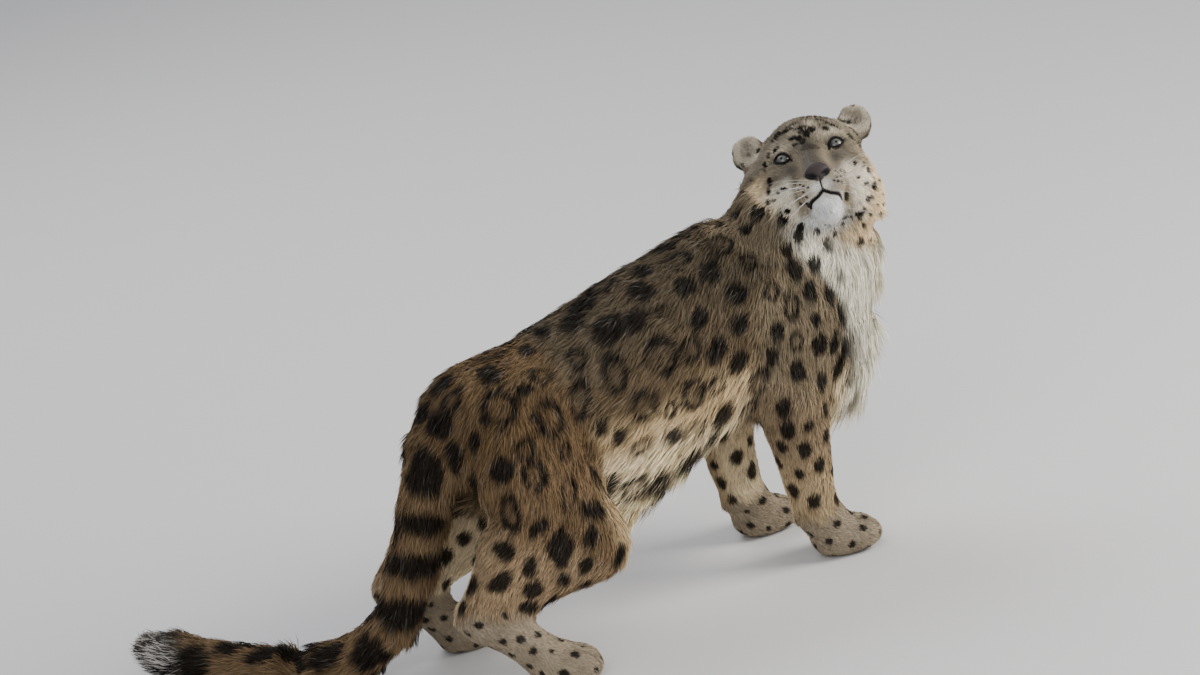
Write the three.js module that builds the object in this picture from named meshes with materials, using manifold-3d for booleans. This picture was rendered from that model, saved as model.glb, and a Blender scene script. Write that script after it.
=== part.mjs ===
// A life-size snow leopard that stands on all four feet and looks back over its right shoulder.
// Millimetres, +X from tail to chest, +Y to the animal's left, +Z up, the floor at Z = 0.
// Flesh is a smooth field of ellipsoids and limbs, and a skin is shot from inside on to that field.
// The skins and the locks of the long coat are joined to one body, which is then parted into nodes at
// the joints, from its tips inwards, each node 0.3 mm clear of the next.
import * as THREE from "three";
import { mergeVertices } from "three/addons/utils/BufferGeometryUtils.js";
import Module from "manifold-3d";

const wasm = await Module();
wasm.setup();

const gap = 0.3; // between nodes that touch
const far = 3000; // larger than the animal
const at = (x, y, z) => new THREE.Vector3(x, y, z);

// Driving sizes
const trunk = { belly: 385, halfWidth: 118 };
const eyeball = { radius: 14.5, spread: 43, forward: 45, height: 8 };
const skull = { centre: at(431, -53, 618), yaw: -126, pitch: 40, lean: 9 };

// Fields: each gives the distance from a point to a form, negative inside

const degrees = THREE.MathUtils.degToRad;
const turned = (pitch = 0, yaw = 0, lean = 0) =>
  new THREE.Euler(degrees(lean), degrees(-pitch), degrees(yaw), "ZYX");

function blob(centre, radii, turn = turned()) {
  const back = new THREE.Quaternion().setFromEuler(turn).invert();
  const r = at(...radii);
  return (p) => {
    const q = p.clone().sub(centre).applyQuaternion(back).divide(r);
    const near = q.length();
    const steep = q.divide(r).length();
    return steep < 1e-9 ? -Math.min(...radii) : (near * (near - 1)) / steep;
  };
}

function limb(a, b, ra, rb) {
  const run = b.clone().sub(a);
  return (p) => {
    const t = THREE.MathUtils.clamp(p.clone().sub(a).dot(run) / run.lengthSq(), 0, 1);
    return p.distanceTo(a.clone().addScaledVector(run, t)) - THREE.MathUtils.lerp(ra, rb, t);
  };
}

// A limb that is narrower or wider than round along one direction
function flatLimb(a, b, ra, rb, across, share) {
  const inner = limb(a.clone().setComponent(across, a.getComponent(across) / share),
    b.clone().setComponent(across, b.getComponent(across) / share), ra, rb);
  return (p) => {
    const q = p.clone().setComponent(across, p.getComponent(across) / share);
    return inner(q) * Math.min(1, share);
  };
}

const blended = (soft, ...forms) => (p) => {
  let d = forms[0](p);
  for (const form of forms.slice(1)) {
    const e = form(p);
    const h = Math.max(soft - Math.abs(d - e), 0) / soft;
    d = Math.min(d, e) - (h * h * soft) / 4;
  }
  return d;
};

const hollowed = (soft, form, ...hollows) => (p) => {
  let d = form(p);
  for (const hollow of hollows) {
    const e = -hollow(p);
    const h = Math.max(soft - Math.abs(d - e), 0) / soft;
    d = Math.max(d, e) + (h * h * soft) / 4;
  }
  return d;
};

// How far a ray runs from inside a field to its surface
function reachOf(field, from, along, most) {
  const step = 3;
  const p = from.clone();
  for (let r = step; r < most; r += step) {
    p.copy(from).addScaledVector(along, r);
    if (field(p) > 0) {
      let low = r - step;
      let high = r;
      for (let i = 0; i < 12; i++) {
        const middle = (low + high) / 2;
        p.copy(from).addScaledVector(along, middle);
        if (field(p) > 0) high = middle;
        else low = middle;
      }
      return low;
    }
  }
  return most;
}

// Skins

// Rings of points between two end points become one closed geometry
function skinOf(first, rings, last) {
  const sides = rings[0].length;
  const points = [first, ...rings.flat(), last];
  const index = [];
  const id = (ring, side) => 1 + ring * sides + (side % sides);
  for (let s = 0; s < sides; s++) {
    index.push(0, id(0, s + 1), id(0, s));
    for (let r = 0; r + 1 < rings.length; r++) {
      index.push(id(r, s), id(r, s + 1), id(r + 1, s));
      index.push(id(r, s + 1), id(r + 1, s + 1), id(r + 1, s));
    }
    index.push(points.length - 1, id(rings.length - 1, s), id(rings.length - 1, s + 1));
  }
  return new THREE.BufferGeometry().setFromPoints(points).setIndex(index);
}

// A tube shot outwards from a line, with round ends. up is the direction of its first side.
function tubeRound(line, field, { rings, sides, ends = 3, most = 400, up = at(0, 0, 1) }) {
  const curve = new THREE.CatmullRomCurve3(line, false, "centripetal");
  const made = [];
  const ray = at(0, 0, 0);
  const shoot = (t, tilt) => {
    const centre = curve.getPointAt(t);
    const along = curve.getTangentAt(t);
    const side = along.clone().cross(up).normalize();
    const top = side.clone().cross(along).normalize();
    return Array.from({ length: sides }, (_, s) => {
      const angle = (2 * Math.PI * s) / sides;
      ray.copy(top).multiplyScalar(Math.cos(angle)).addScaledVector(side, Math.sin(angle));
      ray.multiplyScalar(Math.cos(tilt)).addScaledVector(along, Math.sin(tilt)).normalize();
      return centre.clone().addScaledVector(ray, reachOf(field, centre, ray, most));
    });
  };
  const quarter = Math.PI / 2;
  for (let e = ends; e > 0; e--) made.push(shoot(0, (-quarter * e) / (ends + 1)));
  for (let r = 0; r < rings; r++) made.push(shoot(r / (rings - 1), 0));
  for (let e = 1; e <= ends; e++) made.push(shoot(1, (quarter * e) / (ends + 1)));
  const pole = (t, sign) => {
    const centre = curve.getPointAt(t);
    const along = curve.getTangentAt(t).multiplyScalar(sign);
    return centre.clone().addScaledVector(along, reachOf(field, centre, along, most));
  };
  return skinOf(pole(0, -1), made, pole(1, 1));
}

// Solids

function solidOf(geometry) {
  const bare = geometry.clone();
  bare.deleteAttribute("normal");
  bare.deleteAttribute("uv");
  const merged = mergeVertices(bare, 1e-3);
  const triVerts = new Uint32Array(merged.index.array);
  const vertProperties = merged.attributes.position.array;
  const made = new wasm.Manifold(new wasm.Mesh({ numProp: 3, vertProperties, triVerts }));
  if (made.volume() < 0) throw new Error("a skin is inside out");
  return made;
}

function geometryOf(solid) {
  const mesh = solid.getMesh();
  const geometry = new THREE.BufferGeometry();
  geometry.setAttribute("position", new THREE.BufferAttribute(mesh.vertProperties, 3));
  return geometry.setIndex(new THREE.BufferAttribute(mesh.triVerts, 1));
}

const floor = solidOf(new THREE.BoxGeometry(far, far, far).translate(0, 0, -far / 2));

function largest(solid) {
  const bodies = solid.decompose();
  return bodies.reduce((a, b) => (a.volume() > b.volume() ? a : b));
}

// Regions that part the whole animal. Each is made once as it is, and once larger by the gap.

// A box that starts on a plane through point and runs along direction
const boxFrom = (point, direction, halfWidth, length) => (extra) => {
  const along = direction.clone().normalize();
  const box = new THREE.BoxGeometry(2 * (halfWidth + extra), 2 * (halfWidth + extra), length + 2 * extra);
  box.translate(0, 0, length / 2);
  box.applyQuaternion(new THREE.Quaternion().setFromUnitVectors(at(0, 0, 1), along));
  return solidOf(box.translate(point.x, point.y, point.z));
};

// A slot with round ends seen from the side, cut inwards from one flank of the animal to a depth
const slotFrom = (top, bottom, topRadius, bottomRadius, depth) => (extra) => {
  const side = Math.sign(depth);
  const lean = Math.atan2(top.z - bottom.z, top.x - bottom.x);
  const shape = new THREE.Shape();
  shape.absarc(top.x, top.z, topRadius + extra, lean - Math.PI / 2, lean + Math.PI / 2, false);
  shape.absarc(bottom.x, bottom.z, bottomRadius + extra, lean + Math.PI / 2, lean + 1.5 * Math.PI, false);
  const slot = new THREE.ExtrudeGeometry(shape, { depth: far / 6, bevelEnabled: false, curveSegments: 12 });
  slot.rotateX(Math.PI / 2); // the shape's plane becomes XZ and its depth runs to -Y
  slot.translate(0, side > 0 ? depth - extra + far / 6 : depth + extra, 0);
  return solidOf(slot);
};

const colours = { coat: 0xb39d7c, eye: 0x8f9894 };
const root = new THREE.Group();

function add(name, solid, colour, roughness = 0.9) {
  const material = new THREE.MeshStandardMaterial({ color: colour, roughness, metalness: 0 });
  const mesh = new THREE.Mesh(geometryOf(largest(solid)), material);
  mesh.name = name;
  root.add(mesh);
}

// Trunk

const trunkField = blended(
  60,
  blob(at(150, 0, 402), [215, 126, 158], turned(8)),
  blob(at(-20, 0, trunk.belly - 12), [225, trunk.halfWidth, 152], turned(4)),
  blob(at(-215, 0, 388), [130, 108, 112], turned(-10)),
  blob(at(398, -15, 345), [102, 98, 140], turned(-8)),
  flatLimb(at(60, 0, 292), at(-60, 0, 222), 66, 66, 1, 1.3),
  blob(at(270, 0, 505), [110, 62, 80], turned(14)),
  blob(at(300, 90, 400), [92, 48, 135], turned(-12)),
  blob(at(300, -90, 400), [92, 48, 135], turned(-12)),
);
const trunkLine = [
  at(-260, 0, 390), at(-160, 0, 385), at(0, 0, 380), at(160, 0, 395), at(300, 0, 395), at(395, -10, 345),
];
const trunkSkin = tubeRound(trunkLine, trunkField, { rings: 13, sides: 22, ends: 3 });

// Neck and head

const headTurn = turned(skull.pitch, skull.yaw, skull.lean);
const headSpin = new THREE.Quaternion().setFromEuler(headTurn);
const headUp = at(0, 0, 1).applyQuaternion(headSpin);
// A point given in the head's own frame: forward to the nose, to its left, up
const inHead = (forward, left, up) => at(forward, left, up).applyQuaternion(headSpin).add(skull.centre);
const headBlob = (forward, left, up, radii, pitch = 0, yaw = 0, lean = 0) => {
  const spin = headSpin.clone().multiply(new THREE.Quaternion().setFromEuler(turned(pitch, yaw, lean)));
  return blob(inHead(forward, left, up), radii, new THREE.Euler().setFromQuaternion(spin, "ZYX"));
};
const headLimb = (a, b, ra, rb) => limb(inHead(...a), inHead(...b), ra, rb);
const pair = (make) => [make(1), make(-1)];

const neckField = blended(
  60,
  limb(at(335, 0, 430), at(405, -18, 560), 128, 92),
  limb(at(425, -10, 380), at(470, -45, 530), 84, 74),
);
const neckSkin = tubeRound([at(330, 0, 420), at(375, -10, 490), at(410, -25, 560)], neckField, {
  rings: 6,
  sides: 20,
  ends: 3,
  up: at(-1, 0, 0),
});

const eyeAt = (s) => inHead(eyeball.forward, s * eyeball.spread, eyeball.height);
const faceField = blended(
  22,
  headBlob(-30, 0, 24, [82, 86, 72]),
  headBlob(2, 0, 34, [50, 60, 50], -20),
  ...pair((s) => headBlob(-2, s * 54, -22, [52, 44, 52], 0, s * -12)),
  ...pair((s) => headBlob(-36, s * 66, -44, [48, 40, 62])),
  headLimb([34, 0, 14], [86, 0, -38], 27, 19),
  ...pair((s) => headBlob(40, s * 42, -12, [24, 26, 24])),
  ...pair((s) => headBlob(70, s * 21, -62, [32, 24, 24], -20, s * 8)),
  headLimb([8, 0, -68], [62, 0, -92], 36, 25),
  headBlob(92, 0, -50, [14, 23, 14], -25),
);
// The lids are a thin shell over each eyeball, and the brow stands over it
const headField = blended(
  5,
  faceField,
  ...pair((s) => blob(eyeAt(s), [eyeball.radius + 3, eyeball.radius + 3, eyeball.radius + 3])),
);
const headLine = [inHead(-34, 0, -10), inHead(0, 0, -20), inHead(44, 0, -48)];
const headSkin = tubeRound(headLine, headField, { rings: 8, sides: 30, ends: 5, most: 200, up: headUp });

const earField = (s) => hollowed(
  3,
  headBlob(-34, s * 85, 69, [20, 30, 38], 10, s * 22, s * -38),
  headBlob(-12, s * 91, 77, [23, 21, 28], 10, s * 22, s * -38),
);
const earSkin = (s) =>
  tubeRound([inHead(-38, s * 72, 40), inHead(-42, s * 86, 66), inHead(-42, s * 96, 87)], earField(s), {
    rings: 6,
    sides: 16,
    ends: 2,
    most: 60,
    up: headUp,
  });

// Legs

function toes(centre, heading, size) {
  const forward = at(Math.cos(degrees(heading)), Math.sin(degrees(heading)), 0);
  const side = at(-forward.y, forward.x, 0);
  return [-1.5, -0.5, 0.5, 1.5].map((n) => {
    const reach = Math.abs(n) > 1 ? 0.72 : 1;
    const c = centre.clone().addScaledVector(forward, size * 1.25 * reach);
    c.addScaledVector(side, n * size * 0.62);
    return blob(c, [size * 0.72, size * 0.36, size * 0.5], turned(-12, heading + n * 5));
  });
}

const headingOf = (angle) => at(Math.cos(degrees(angle)), Math.sin(degrees(angle)), 0);

function foreLeg({ shoulder, elbow, wrist, paw, heading }) {
  const forward = headingOf(heading);
  const field = blended(
    18,
    flatLimb(shoulder, elbow, 92, 62, 1, 0.62),
    limb(elbow, wrist, 60, 37),
    limb(wrist, paw.clone().setZ(36), 37, 36),
    blob(paw.clone().addScaledVector(forward, 8), [54, 46, 32], turned(0, heading)),
    ...toes(paw, heading, 37),
  );
  const upper = elbow.clone().sub(shoulder);
  const lower = wrist.clone().sub(elbow);
  const grown = (p) => field(p) - 1.5 * gap;
  const front = at(1, 0, 0);
  const upperLine = [shoulder, elbow.clone().addScaledVector(upper, 0.1)];
  const lowerLine = [-0.15, 1.15].map((t) => elbow.clone().addScaledVector(lower, t));
  const pawLine = [-22, 38].map((t) => paw.clone().addScaledVector(forward, t));
  const top = shoulder.clone().setZ(shoulder.z + 30);
  const upperShape = { rings: 5, sides: 16, most: 110, up: front };
  const lowerShape = { rings: 6, sides: 14, ends: 2, most: 80, up: front };
  const bend = upper.clone().normalize().add(lower.clone().normalize());
  return {
    upper: {
      name: "foreleg_upper_",
      solid: solidOf(tubeRound(upperLine, field, upperShape)),
      region: slotFrom(top, elbow, 84, 78, Math.sign(shoulder.y) * 62),
    },
    lower: {
      name: "foreleg_lower_",
      solid: solidOf(tubeRound(lowerLine, field, lowerShape)),
      region: boxFrom(elbow, bend, 200, 300),
      sleeve: solidOf(tubeRound(lowerLine, grown, lowerShape)),
    },
    paw: {
      name: "forepaw_",
      solid: solidOf(tubeRound(pawLine, field, { rings: 5, sides: 20, most: 80 })),
      region: boxFrom(wrist, at(0.25, 0, -1), 150, 200),
    },
  };
}

function hindLeg({ hip, knee, hock, paw, heading }) {
  const forward = headingOf(heading);
  const sole = paw.clone().setZ(34);
  const calf = hip.clone().add(at(-50, 0, -50)).setY(knee.y * 0.95);
  const field = blended(
    26,
    flatLimb(hip, knee, 104, 66, 1, 0.6),
    limb(knee, hock, 62, 34),
    flatLimb(calf, hock.clone().add(at(16, 0, 22)), 66, 38, 1, 0.8),
    limb(hock, sole, 35, 33),
    blob(paw.clone().addScaledVector(forward, 6), [50, 42, 30], turned(0, heading)),
    ...toes(paw, heading, 34),
  );
  const thigh = knee.clone().sub(hip).normalize();
  const shank = hock.clone().sub(knee).normalize();
  const foot = sole.clone().sub(hock).normalize();
  const grown = (p) => field(p) - 1.5 * gap;
  const thighLine = [hip, knee.clone().addScaledVector(thigh, 20)];
  const shankLine = [
    knee.clone().addScaledVector(shank, -20).setZ(knee.z + 10),
    knee.clone().lerp(hock, 0.5).setZ(knee.z),
    hock.clone().addScaledVector(shank, 8),
  ];
  const footLine = [
    hock.clone().addScaledVector(foot, -14),
    hock.clone().lerp(sole, 0.6),
    paw.clone().addScaledVector(forward, 34),
  ];
  const thighShape = { rings: 6, sides: 18, most: 125, up: at(1, 0, 0) };
  const shankShape = { rings: 8, sides: 14, ends: 2, most: 110 };
  return {
    upper: {
      name: "hindleg_thigh_",
      solid: solidOf(tubeRound(thighLine, field, thighShape)),
      region: slotFrom(hip, knee, 112, 100, Math.sign(hip.y) * 50),
    },
    lower: {
      name: "hindleg_shank_",
      solid: solidOf(tubeRound(shankLine, field, shankShape)),
      region: boxFrom(knee, thigh.clone().add(shank), 300, 400),
      sleeve: solidOf(tubeRound(shankLine, grown, shankShape)),
    },
    paw: {
      name: "hindpaw_",
      solid: solidOf(tubeRound(footLine, field, { rings: 9, sides: 18, most: 80 })),
      region: boxFrom(hock, shank.clone().add(foot), 200, 300),
    },
  };
}

const legs = [
  ["right", foreLeg({
    shoulder: at(318, -90, 395),
    elbow: at(286, -98, 268),
    wrist: at(297, -98, 84),
    paw: at(330, -104, 27),
    heading: -12,
  })],
  ["left", foreLeg({
    shoulder: at(308, 90, 395),
    elbow: at(266, 92, 268),
    wrist: at(282, 88, 84),
    paw: at(310, 88, 27),
    heading: 0,
  })],
  ["right", hindLeg({
    hip: at(-205, -74, 350),
    knee: at(-150, -118, 190),
    hock: at(-360, -108, 138),
    paw: at(-262, -148, 25),
    heading: -25,
  })],
  ["left", hindLeg({
    hip: at(-205, 74, 350),
    knee: at(-170, 116, 190),
    hock: at(-372, 116, 138),
    paw: at(-270, 118, 24),
    heading: 4,
  })],
];

// Tail

const tailLine = [
  at(-270, 0, 420), at(-325, 0, 385), at(-360, 0, 300), at(-392, 10, 215), at(-426, 40, 120),
  at(-462, 118, 52), at(-525, 205, 38), at(-585, 310, 36), at(-632, 405, 44), at(-648, 440, 56),
];
const tailRadii = [50, 50, 44, 42, 41, 41, 40, 40, 46, 38];
const tailField = blended(
  18,
  ...tailLine.slice(1).map((p, i) => limb(tailLine[i], p, tailRadii[i], tailRadii[i + 1])),
);
const tailSkin = tubeRound(tailLine, tailField, { rings: 27, sides: 12, most: 70, up: at(0.1, 1, 0.1) });
const tailCuts = [2, 4, 6, 8];

// Locks of the long coat: flat, tapered and bending, rooted in the flesh and lying along the flow

function lock(field, from, towards, flow, { length, width, lift }) {
  const out = towards.clone().sub(from).normalize();
  const root = from.clone().addScaledVector(out, reachOf(field, from, out, 300));
  const slope = (axis) => field(root.clone().add(axis)) - field(root.clone().sub(axis));
  const normal = at(slope(at(1, 0, 0)), slope(at(0, 1, 0)), slope(at(0, 0, 1))).normalize();
  const along = flow.clone().addScaledVector(normal, -flow.dot(normal)).normalize();
  const side = normal.clone().cross(along);
  const depth = 13;
  const spine = (t) => {
    const rise = (depth + lift) * Math.sin((t * Math.PI) / 2) - depth;
    return root.clone().addScaledVector(along, length * (t - 0.2)).addScaledVector(normal, rise);
  };
  const ring = (t) => {
    const half = (width / 2) * Math.sqrt(1 - t * t);
    const thick = 5 * (1 - t) + 1;
    return [at(0, half, 0), at(0, 0, thick), at(0, -half, 0), at(0, 0, -thick)].map((q) =>
      spine(t).addScaledVector(side, q.y).addScaledVector(normal, q.z));
  };
  return solidOf(skinOf(spine(-0.05), [0, 0.35, 0.65, 0.88].map(ring), spine(1)));
}

const locks = [];
for (const s of [1, -1]) {
  // the ruff behind each cheek
  for (let k = 0; k < 7; k++) {
    const towards = inHead(-30, s * 110, 36 - 24 * k);
    const flow = at(-1, s * 0.1, -0.9).applyQuaternion(headSpin);
    const size = { length: 44, width: 24, lift: 2 };
    locks.push(lock(headField, inHead(-26, s * 30, -20), towards, flow, size));
  }
  // the fringe of the belly
  for (let x = -70; x <= 110; x += 30) {
    const size = { length: 62, width: 34, lift: 12 };
    locks.push(lock(trunkField, at(x, 0, 300), at(x, s * 60, 200), at(-1, 0, -0.2), size));
  }
}
// the fringe of the chest
for (let row = 0; row < 4; row++) {
  for (let k = -1.5; k <= 1.5; k++) {
    const towards = at(520, -15 + 50 * k, 400 - 62 * row);
    const size = { length: 60, width: 34, lift: 8 };
    locks.push(lock(trunkField, at(380, -10, 330), towards, at(0, 0, -1), size));
  }
}
// the fringe of the throat
for (let row = 0; row < 2; row++) {
  for (let k = -1; k <= 1; k++) {
    const towards = at(540, -60 + 55 * k, 500 - 60 * row);
    const size = { length: 58, width: 34, lift: 8 };
    locks.push(lock(neckField, at(440, -30, 450), towards, at(0, 0, -1), size));
  }
}
// the bush of the tail: locks wind round it in a spiral, none of them under it where it lies down
const tailCurve = new THREE.CatmullRomCurve3(tailLine, false, "centripetal");
const tailLocks = { first: 4, last: 38, count: 42, turn: 100 };
for (let k = tailLocks.first; k < tailLocks.last; k++) {
  const centre = tailCurve.getPointAt(k / tailLocks.count);
  const flow = tailCurve.getTangentAt(k / tailLocks.count);
  const angle = degrees(k * tailLocks.turn);
  const across = flow.clone().cross(at(0.1, 1, 0.1)).normalize();
  const out = across.clone().multiplyScalar(Math.cos(angle));
  out.addScaledVector(across.cross(flow), Math.sin(angle));
  const size = { length: 54, width: 28, lift: 1 };
  if (out.z > -0.6 || centre.z > 110)
    locks.push(lock(tailField, centre, centre.clone().add(out), flow, size));
}

// The whole animal, parted from its tips inwards

const joined = (...solids) => solids.reduce((a, b) => a.add(b));

let whole = joined(
  ...[trunkSkin, neckSkin, headSkin, earSkin(1), earSkin(-1), tailSkin].map(solidOf),
  ...legs.map(([, { upper, lower }]) => upper.solid.subtract(lower.region(gap))),
  ...locks,
).subtract(floor);

// A node takes what lies in its region
function part(name, region) {
  add(name, whole.intersect(region(0)), colours.coat);
  whole = whole.subtract(region(gap));
}

const eyeSolid = (s, extra) =>
  solidOf(new THREE.SphereGeometry(eyeball.radius + extra, 14, 9).translate(...eyeAt(s).toArray()));
// The eye opening: an almond cut through the lids, its inner corner lower
function lidOpening(s) {
  const half = eyeball.radius * 1.06;
  const almond = new THREE.Shape().moveTo(-half, 0);
  almond.quadraticCurveTo(-2, half * 1.25, half, 0);
  almond.quadraticCurveTo(2, -half * 0.95, -half, 0);
  const cut = new THREE.ExtrudeGeometry(almond, { depth: 60, bevelEnabled: false, curveSegments: 5 });
  cut.rotateZ(degrees(s * 12));
  cut.rotateY(Math.PI / 2).rotateX(Math.PI / 2); // depth to +X, width to Y
  cut.rotateZ(degrees(s * 12));
  cut.applyQuaternion(headSpin);
  return solidOf(cut.translate(...eyeAt(s).toArray()));
}
for (const [name, s] of [["left", 1], ["right", -1]]) {
  whole = whole.subtract(lidOpening(s)).subtract(eyeSolid(s, gap));
  add("eye_" + name, eyeSolid(s, 0), colours.eye, 0.15);
}
// The line of the mouth and the nostrils
const lips = (points) => {
  const inner = [50, 0, -76];
  const from = inHead(...inner);
  return points.map((p) => {
    const ray = inHead(...p).sub(from).normalize();
    return from.clone().addScaledVector(ray, reachOf(headField, from, ray, 120));
  });
};
function groove(points, halfWidth) {
  const section = new THREE.Shape().absellipse(0, 0, halfWidth, halfWidth, 0, 2 * Math.PI);
  const extrudePath = new THREE.CatmullRomCurve3(lips(points));
  const along = { steps: 10, curveSegments: 3, extrudePath, bevelEnabled: false };
  return solidOf(new THREE.ExtrudeGeometry(section, along));
}
whole = whole.subtract(groove([[110, 0, -62], [112, 0, -70], [108, 0, -81]], 1.8));
for (const s of [1, -1]) {
  const lip = [[108, s * 0.5, -80], [98, s * 12, -86], [84, s * 26, -92], [64, s * 38, -97]];
  whole = whole.subtract(groove(lip, 2.4));
  const nostril = new THREE.SphereGeometry(1, 8, 6).scale(7, 4.5, 3.5).applyQuaternion(headSpin);
  whole = whole.subtract(solidOf(nostril.translate(...inHead(104, s * 12, -54).toArray())));
}

for (const [name, s] of [["left", 1], ["right", -1]]) {
  const base = inHead(-34, s * 68, 42);
  part("ear_" + name, boxFrom(base, inHead(-40, s * 92, 76).sub(base), 48, 120));
}
part("head", boxFrom(at(395, -35, 568), at(0.42, -0.3, 0.86), 190, 300));
tailCuts.slice().reverse().forEach((k, i) => {
  const direction = tailLine[k + 1].clone().sub(tailLine[k - 1]);
  part("tail_" + ["tip", "lower", "middle", "upper"][i], boxFrom(tailLine[k], direction, 80, 330));
});
for (const [side, { upper, lower, paw }] of legs) {
  const pawSolid = paw.solid.intersect(paw.region(0)).subtract(floor);
  const lowerSolid = lower.solid.intersect(lower.region(0)).subtract(paw.region(gap));
  add(paw.name + side, pawSolid, colours.coat);
  add(lower.name + side, lowerSolid, colours.coat);
  whole = whole.subtract(lower.region(gap).intersect(lower.sleeve));
  part(upper.name + side, upper.region);
}
part("tail_root", boxFrom(tailLine[1], tailLine[2].clone().sub(tailLine[1]), 70, 200));
part("neck", boxFrom(at(330, 0, 490), at(0.62, 0, 0.6), 260, 400));
part("rump", boxFrom(at(-110, 0, 350), at(-1, 0, 0), 400, 500));
part("chest", boxFrom(at(120, 0, 350), at(1, 0, 0), 400, 500));
add("loin", whole, colours.coat);

// The middle of the whole, on the floor, is the origin
const bounds = new THREE.Box3().setFromObject(root);
const middle = bounds.getCenter(at(0, 0, 0));
root.position.set(-middle.x, -middle.y, -bounds.min.z);

export default root;
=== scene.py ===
import itertools
import math

import bmesh
import bpy
import numpy as np
from mathutils import Matrix, Vector
from mathutils.bvhtree import BVHTree
from mathutils.kdtree import KDTree


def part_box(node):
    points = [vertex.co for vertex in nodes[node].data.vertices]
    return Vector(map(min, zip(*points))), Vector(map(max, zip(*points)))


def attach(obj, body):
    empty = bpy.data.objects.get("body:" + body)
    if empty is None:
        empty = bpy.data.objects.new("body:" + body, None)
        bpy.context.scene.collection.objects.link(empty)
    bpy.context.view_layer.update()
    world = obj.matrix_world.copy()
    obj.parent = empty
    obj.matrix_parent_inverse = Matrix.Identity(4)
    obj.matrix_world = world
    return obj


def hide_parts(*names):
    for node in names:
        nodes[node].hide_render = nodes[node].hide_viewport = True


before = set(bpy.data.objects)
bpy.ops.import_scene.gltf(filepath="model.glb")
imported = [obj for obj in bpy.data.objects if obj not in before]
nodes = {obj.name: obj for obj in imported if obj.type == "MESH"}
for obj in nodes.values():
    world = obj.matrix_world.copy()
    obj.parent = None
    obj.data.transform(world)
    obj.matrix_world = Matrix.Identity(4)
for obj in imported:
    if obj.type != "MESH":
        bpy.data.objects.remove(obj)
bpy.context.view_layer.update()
rng = np.random.default_rng(7)
print("frame loaded")

# The skull as the solids place it, found again from the two eyes
skull = {"lean": 9, "pitch": 40, "yaw": -126, "eyeForward": 0.045, "eyeUp": 0.008, "eyeRadius": 0.0145}
eyeCentres = {}
for side in ("left", "right"):
    low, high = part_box("eye_" + side)
    eyeCentres[side] = (np.array(low) + np.array(high)) / 2
headAxes = np.array(
    Matrix.Rotation(math.radians(skull["yaw"]), 3, "Z")
    @ Matrix.Rotation(math.radians(-skull["pitch"]), 3, "Y")
    @ Matrix.Rotation(math.radians(skull["lean"]), 3, "X")
)  # columns are forward, left and up
betweenEyes = (eyeCentres["left"] + eyeCentres["right"]) / 2
skullCentre = betweenEyes - headAxes @ np.array([skull["eyeForward"], 0, skull["eyeUp"]])

# Places read from the photograph are in a stance whose skull is at this point
stanceSkull = np.array([0.431, -0.053, 0.618])
shift = skullCentre - stanceSkull


# Where one thing gives way to the next, as the two ends of a smooth step. Those that begin with
# cheek and face are in the head's own axes, and the rest are in the stance or of a normal.
fades = {
    "cheekAside": (0.055, 0.075), "cheekBelow": (0.035, 0.010), "cheekBehind": (0.045, 0.025),
    "bib": (0.30, 0.42), "back": (0.0, 0.7), "lowFlank": (0.390, 0.335), "belly": (0.325, 0.270),
    "thigh": (0.40, 0.27), "thighFront": (-0.15, -0.105), "thighLow": (0.30, 0.22),
    "foreleg": (0.36, 0.25), "forelegLow": (0.24, 0.12), "chestFront": (0.372, 0.418),
    "chestUnder": (0.75, 0.35), "throatAhead": (0.30, 0.36), "throatAside": (-0.06, -0.10),
    "throatUnder": (0.55, 0.20), "napeAbove": (0.52, 0.60), "napeAside": (0.0, 0.05),
    "inside": (0.1, 0.8), "tailTip": (-0.595, -0.630), "tailFrost": (-0.585, -0.640),
    "chestMarks": (0.385, 0.43), "longBelly": (-0.2, -0.8), "longChest": (0.36, 0.46),
    "faceFront": (-0.02, 0.02), "faceCrown": (0.012, -0.030), "faceCrownAbove": (-0.03, 0.02),
    "faceBridge": (0.050, 0.065), "faceCheekBelow": (-0.018, -0.040), "faceCheekAside": (0.036, 0.050),
    "faceCheekAhead": (-0.045, 0.0), "faceMuzzleBelow": (-0.044, -0.056), "faceMuzzleAside": (0.048, 0.036),
    "faceRuff": (0.02, -0.01), "faceChinBelow": (-0.078, -0.096), "faceChinAside": (0.075, 0.030),
    "faceChinAhead": (-0.03, 0.02),
    "earFacing": (-0.1, 0.3), "earHollow": (0.0, 0.4), "earCup": (0.80, 0.25), "earRim": (0.98, 1.22),
    "earBack": (0.38, 0.05),
}


def inHead(points):
    return (np.asarray(points) - skullCentre) @ headAxes


def fromHead(points):
    return np.asarray(points) @ headAxes.T + skullCentre


def smoothStep(low, high, value):
    t = np.clip((value - low) / (high - low), 0, 1)
    return t * t * (3 - 2 * t)


def fade(name, value):
    return smoothStep(*fades[name], value)


def hashOf(cells, seed):
    n = cells[..., 0] * 73856093 ^ cells[..., 1] * 19349663 ^ cells[..., 2] * 83492791 ^ (seed * 2654435)
    n = (n ^ (n >> 13)) * 1274126177
    return ((n ^ (n >> 16)) & 0xFFFF) / 32767.5 - 1


def noise(points, size, seed=0):
    q = points / size
    base = np.floor(q).astype(np.int64)
    t = q - base
    t = t * t * (3 - 2 * t)
    total = 0
    for corner in range(8):
        step = np.array([corner & 1, corner >> 1 & 1, corner >> 2 & 1])
        weight = np.prod(np.where(step, t, 1 - t), axis=-1)
        total = total + weight * hashOf(base + step, seed)
    return total


# Camera: the photograph's view, held level with the floor at an angle
camera = {
    "azimuth": -32, "elevation": 18, "roll": 10, "distance": 8.0, "pixelsPerMetre": 620,
    "sensor": 36, "farthest": 200,
}
imageWide, imageHigh = 1200, 675
cameraTarget = np.array([0.079, 0.110, 0.416]) + shift


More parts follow.
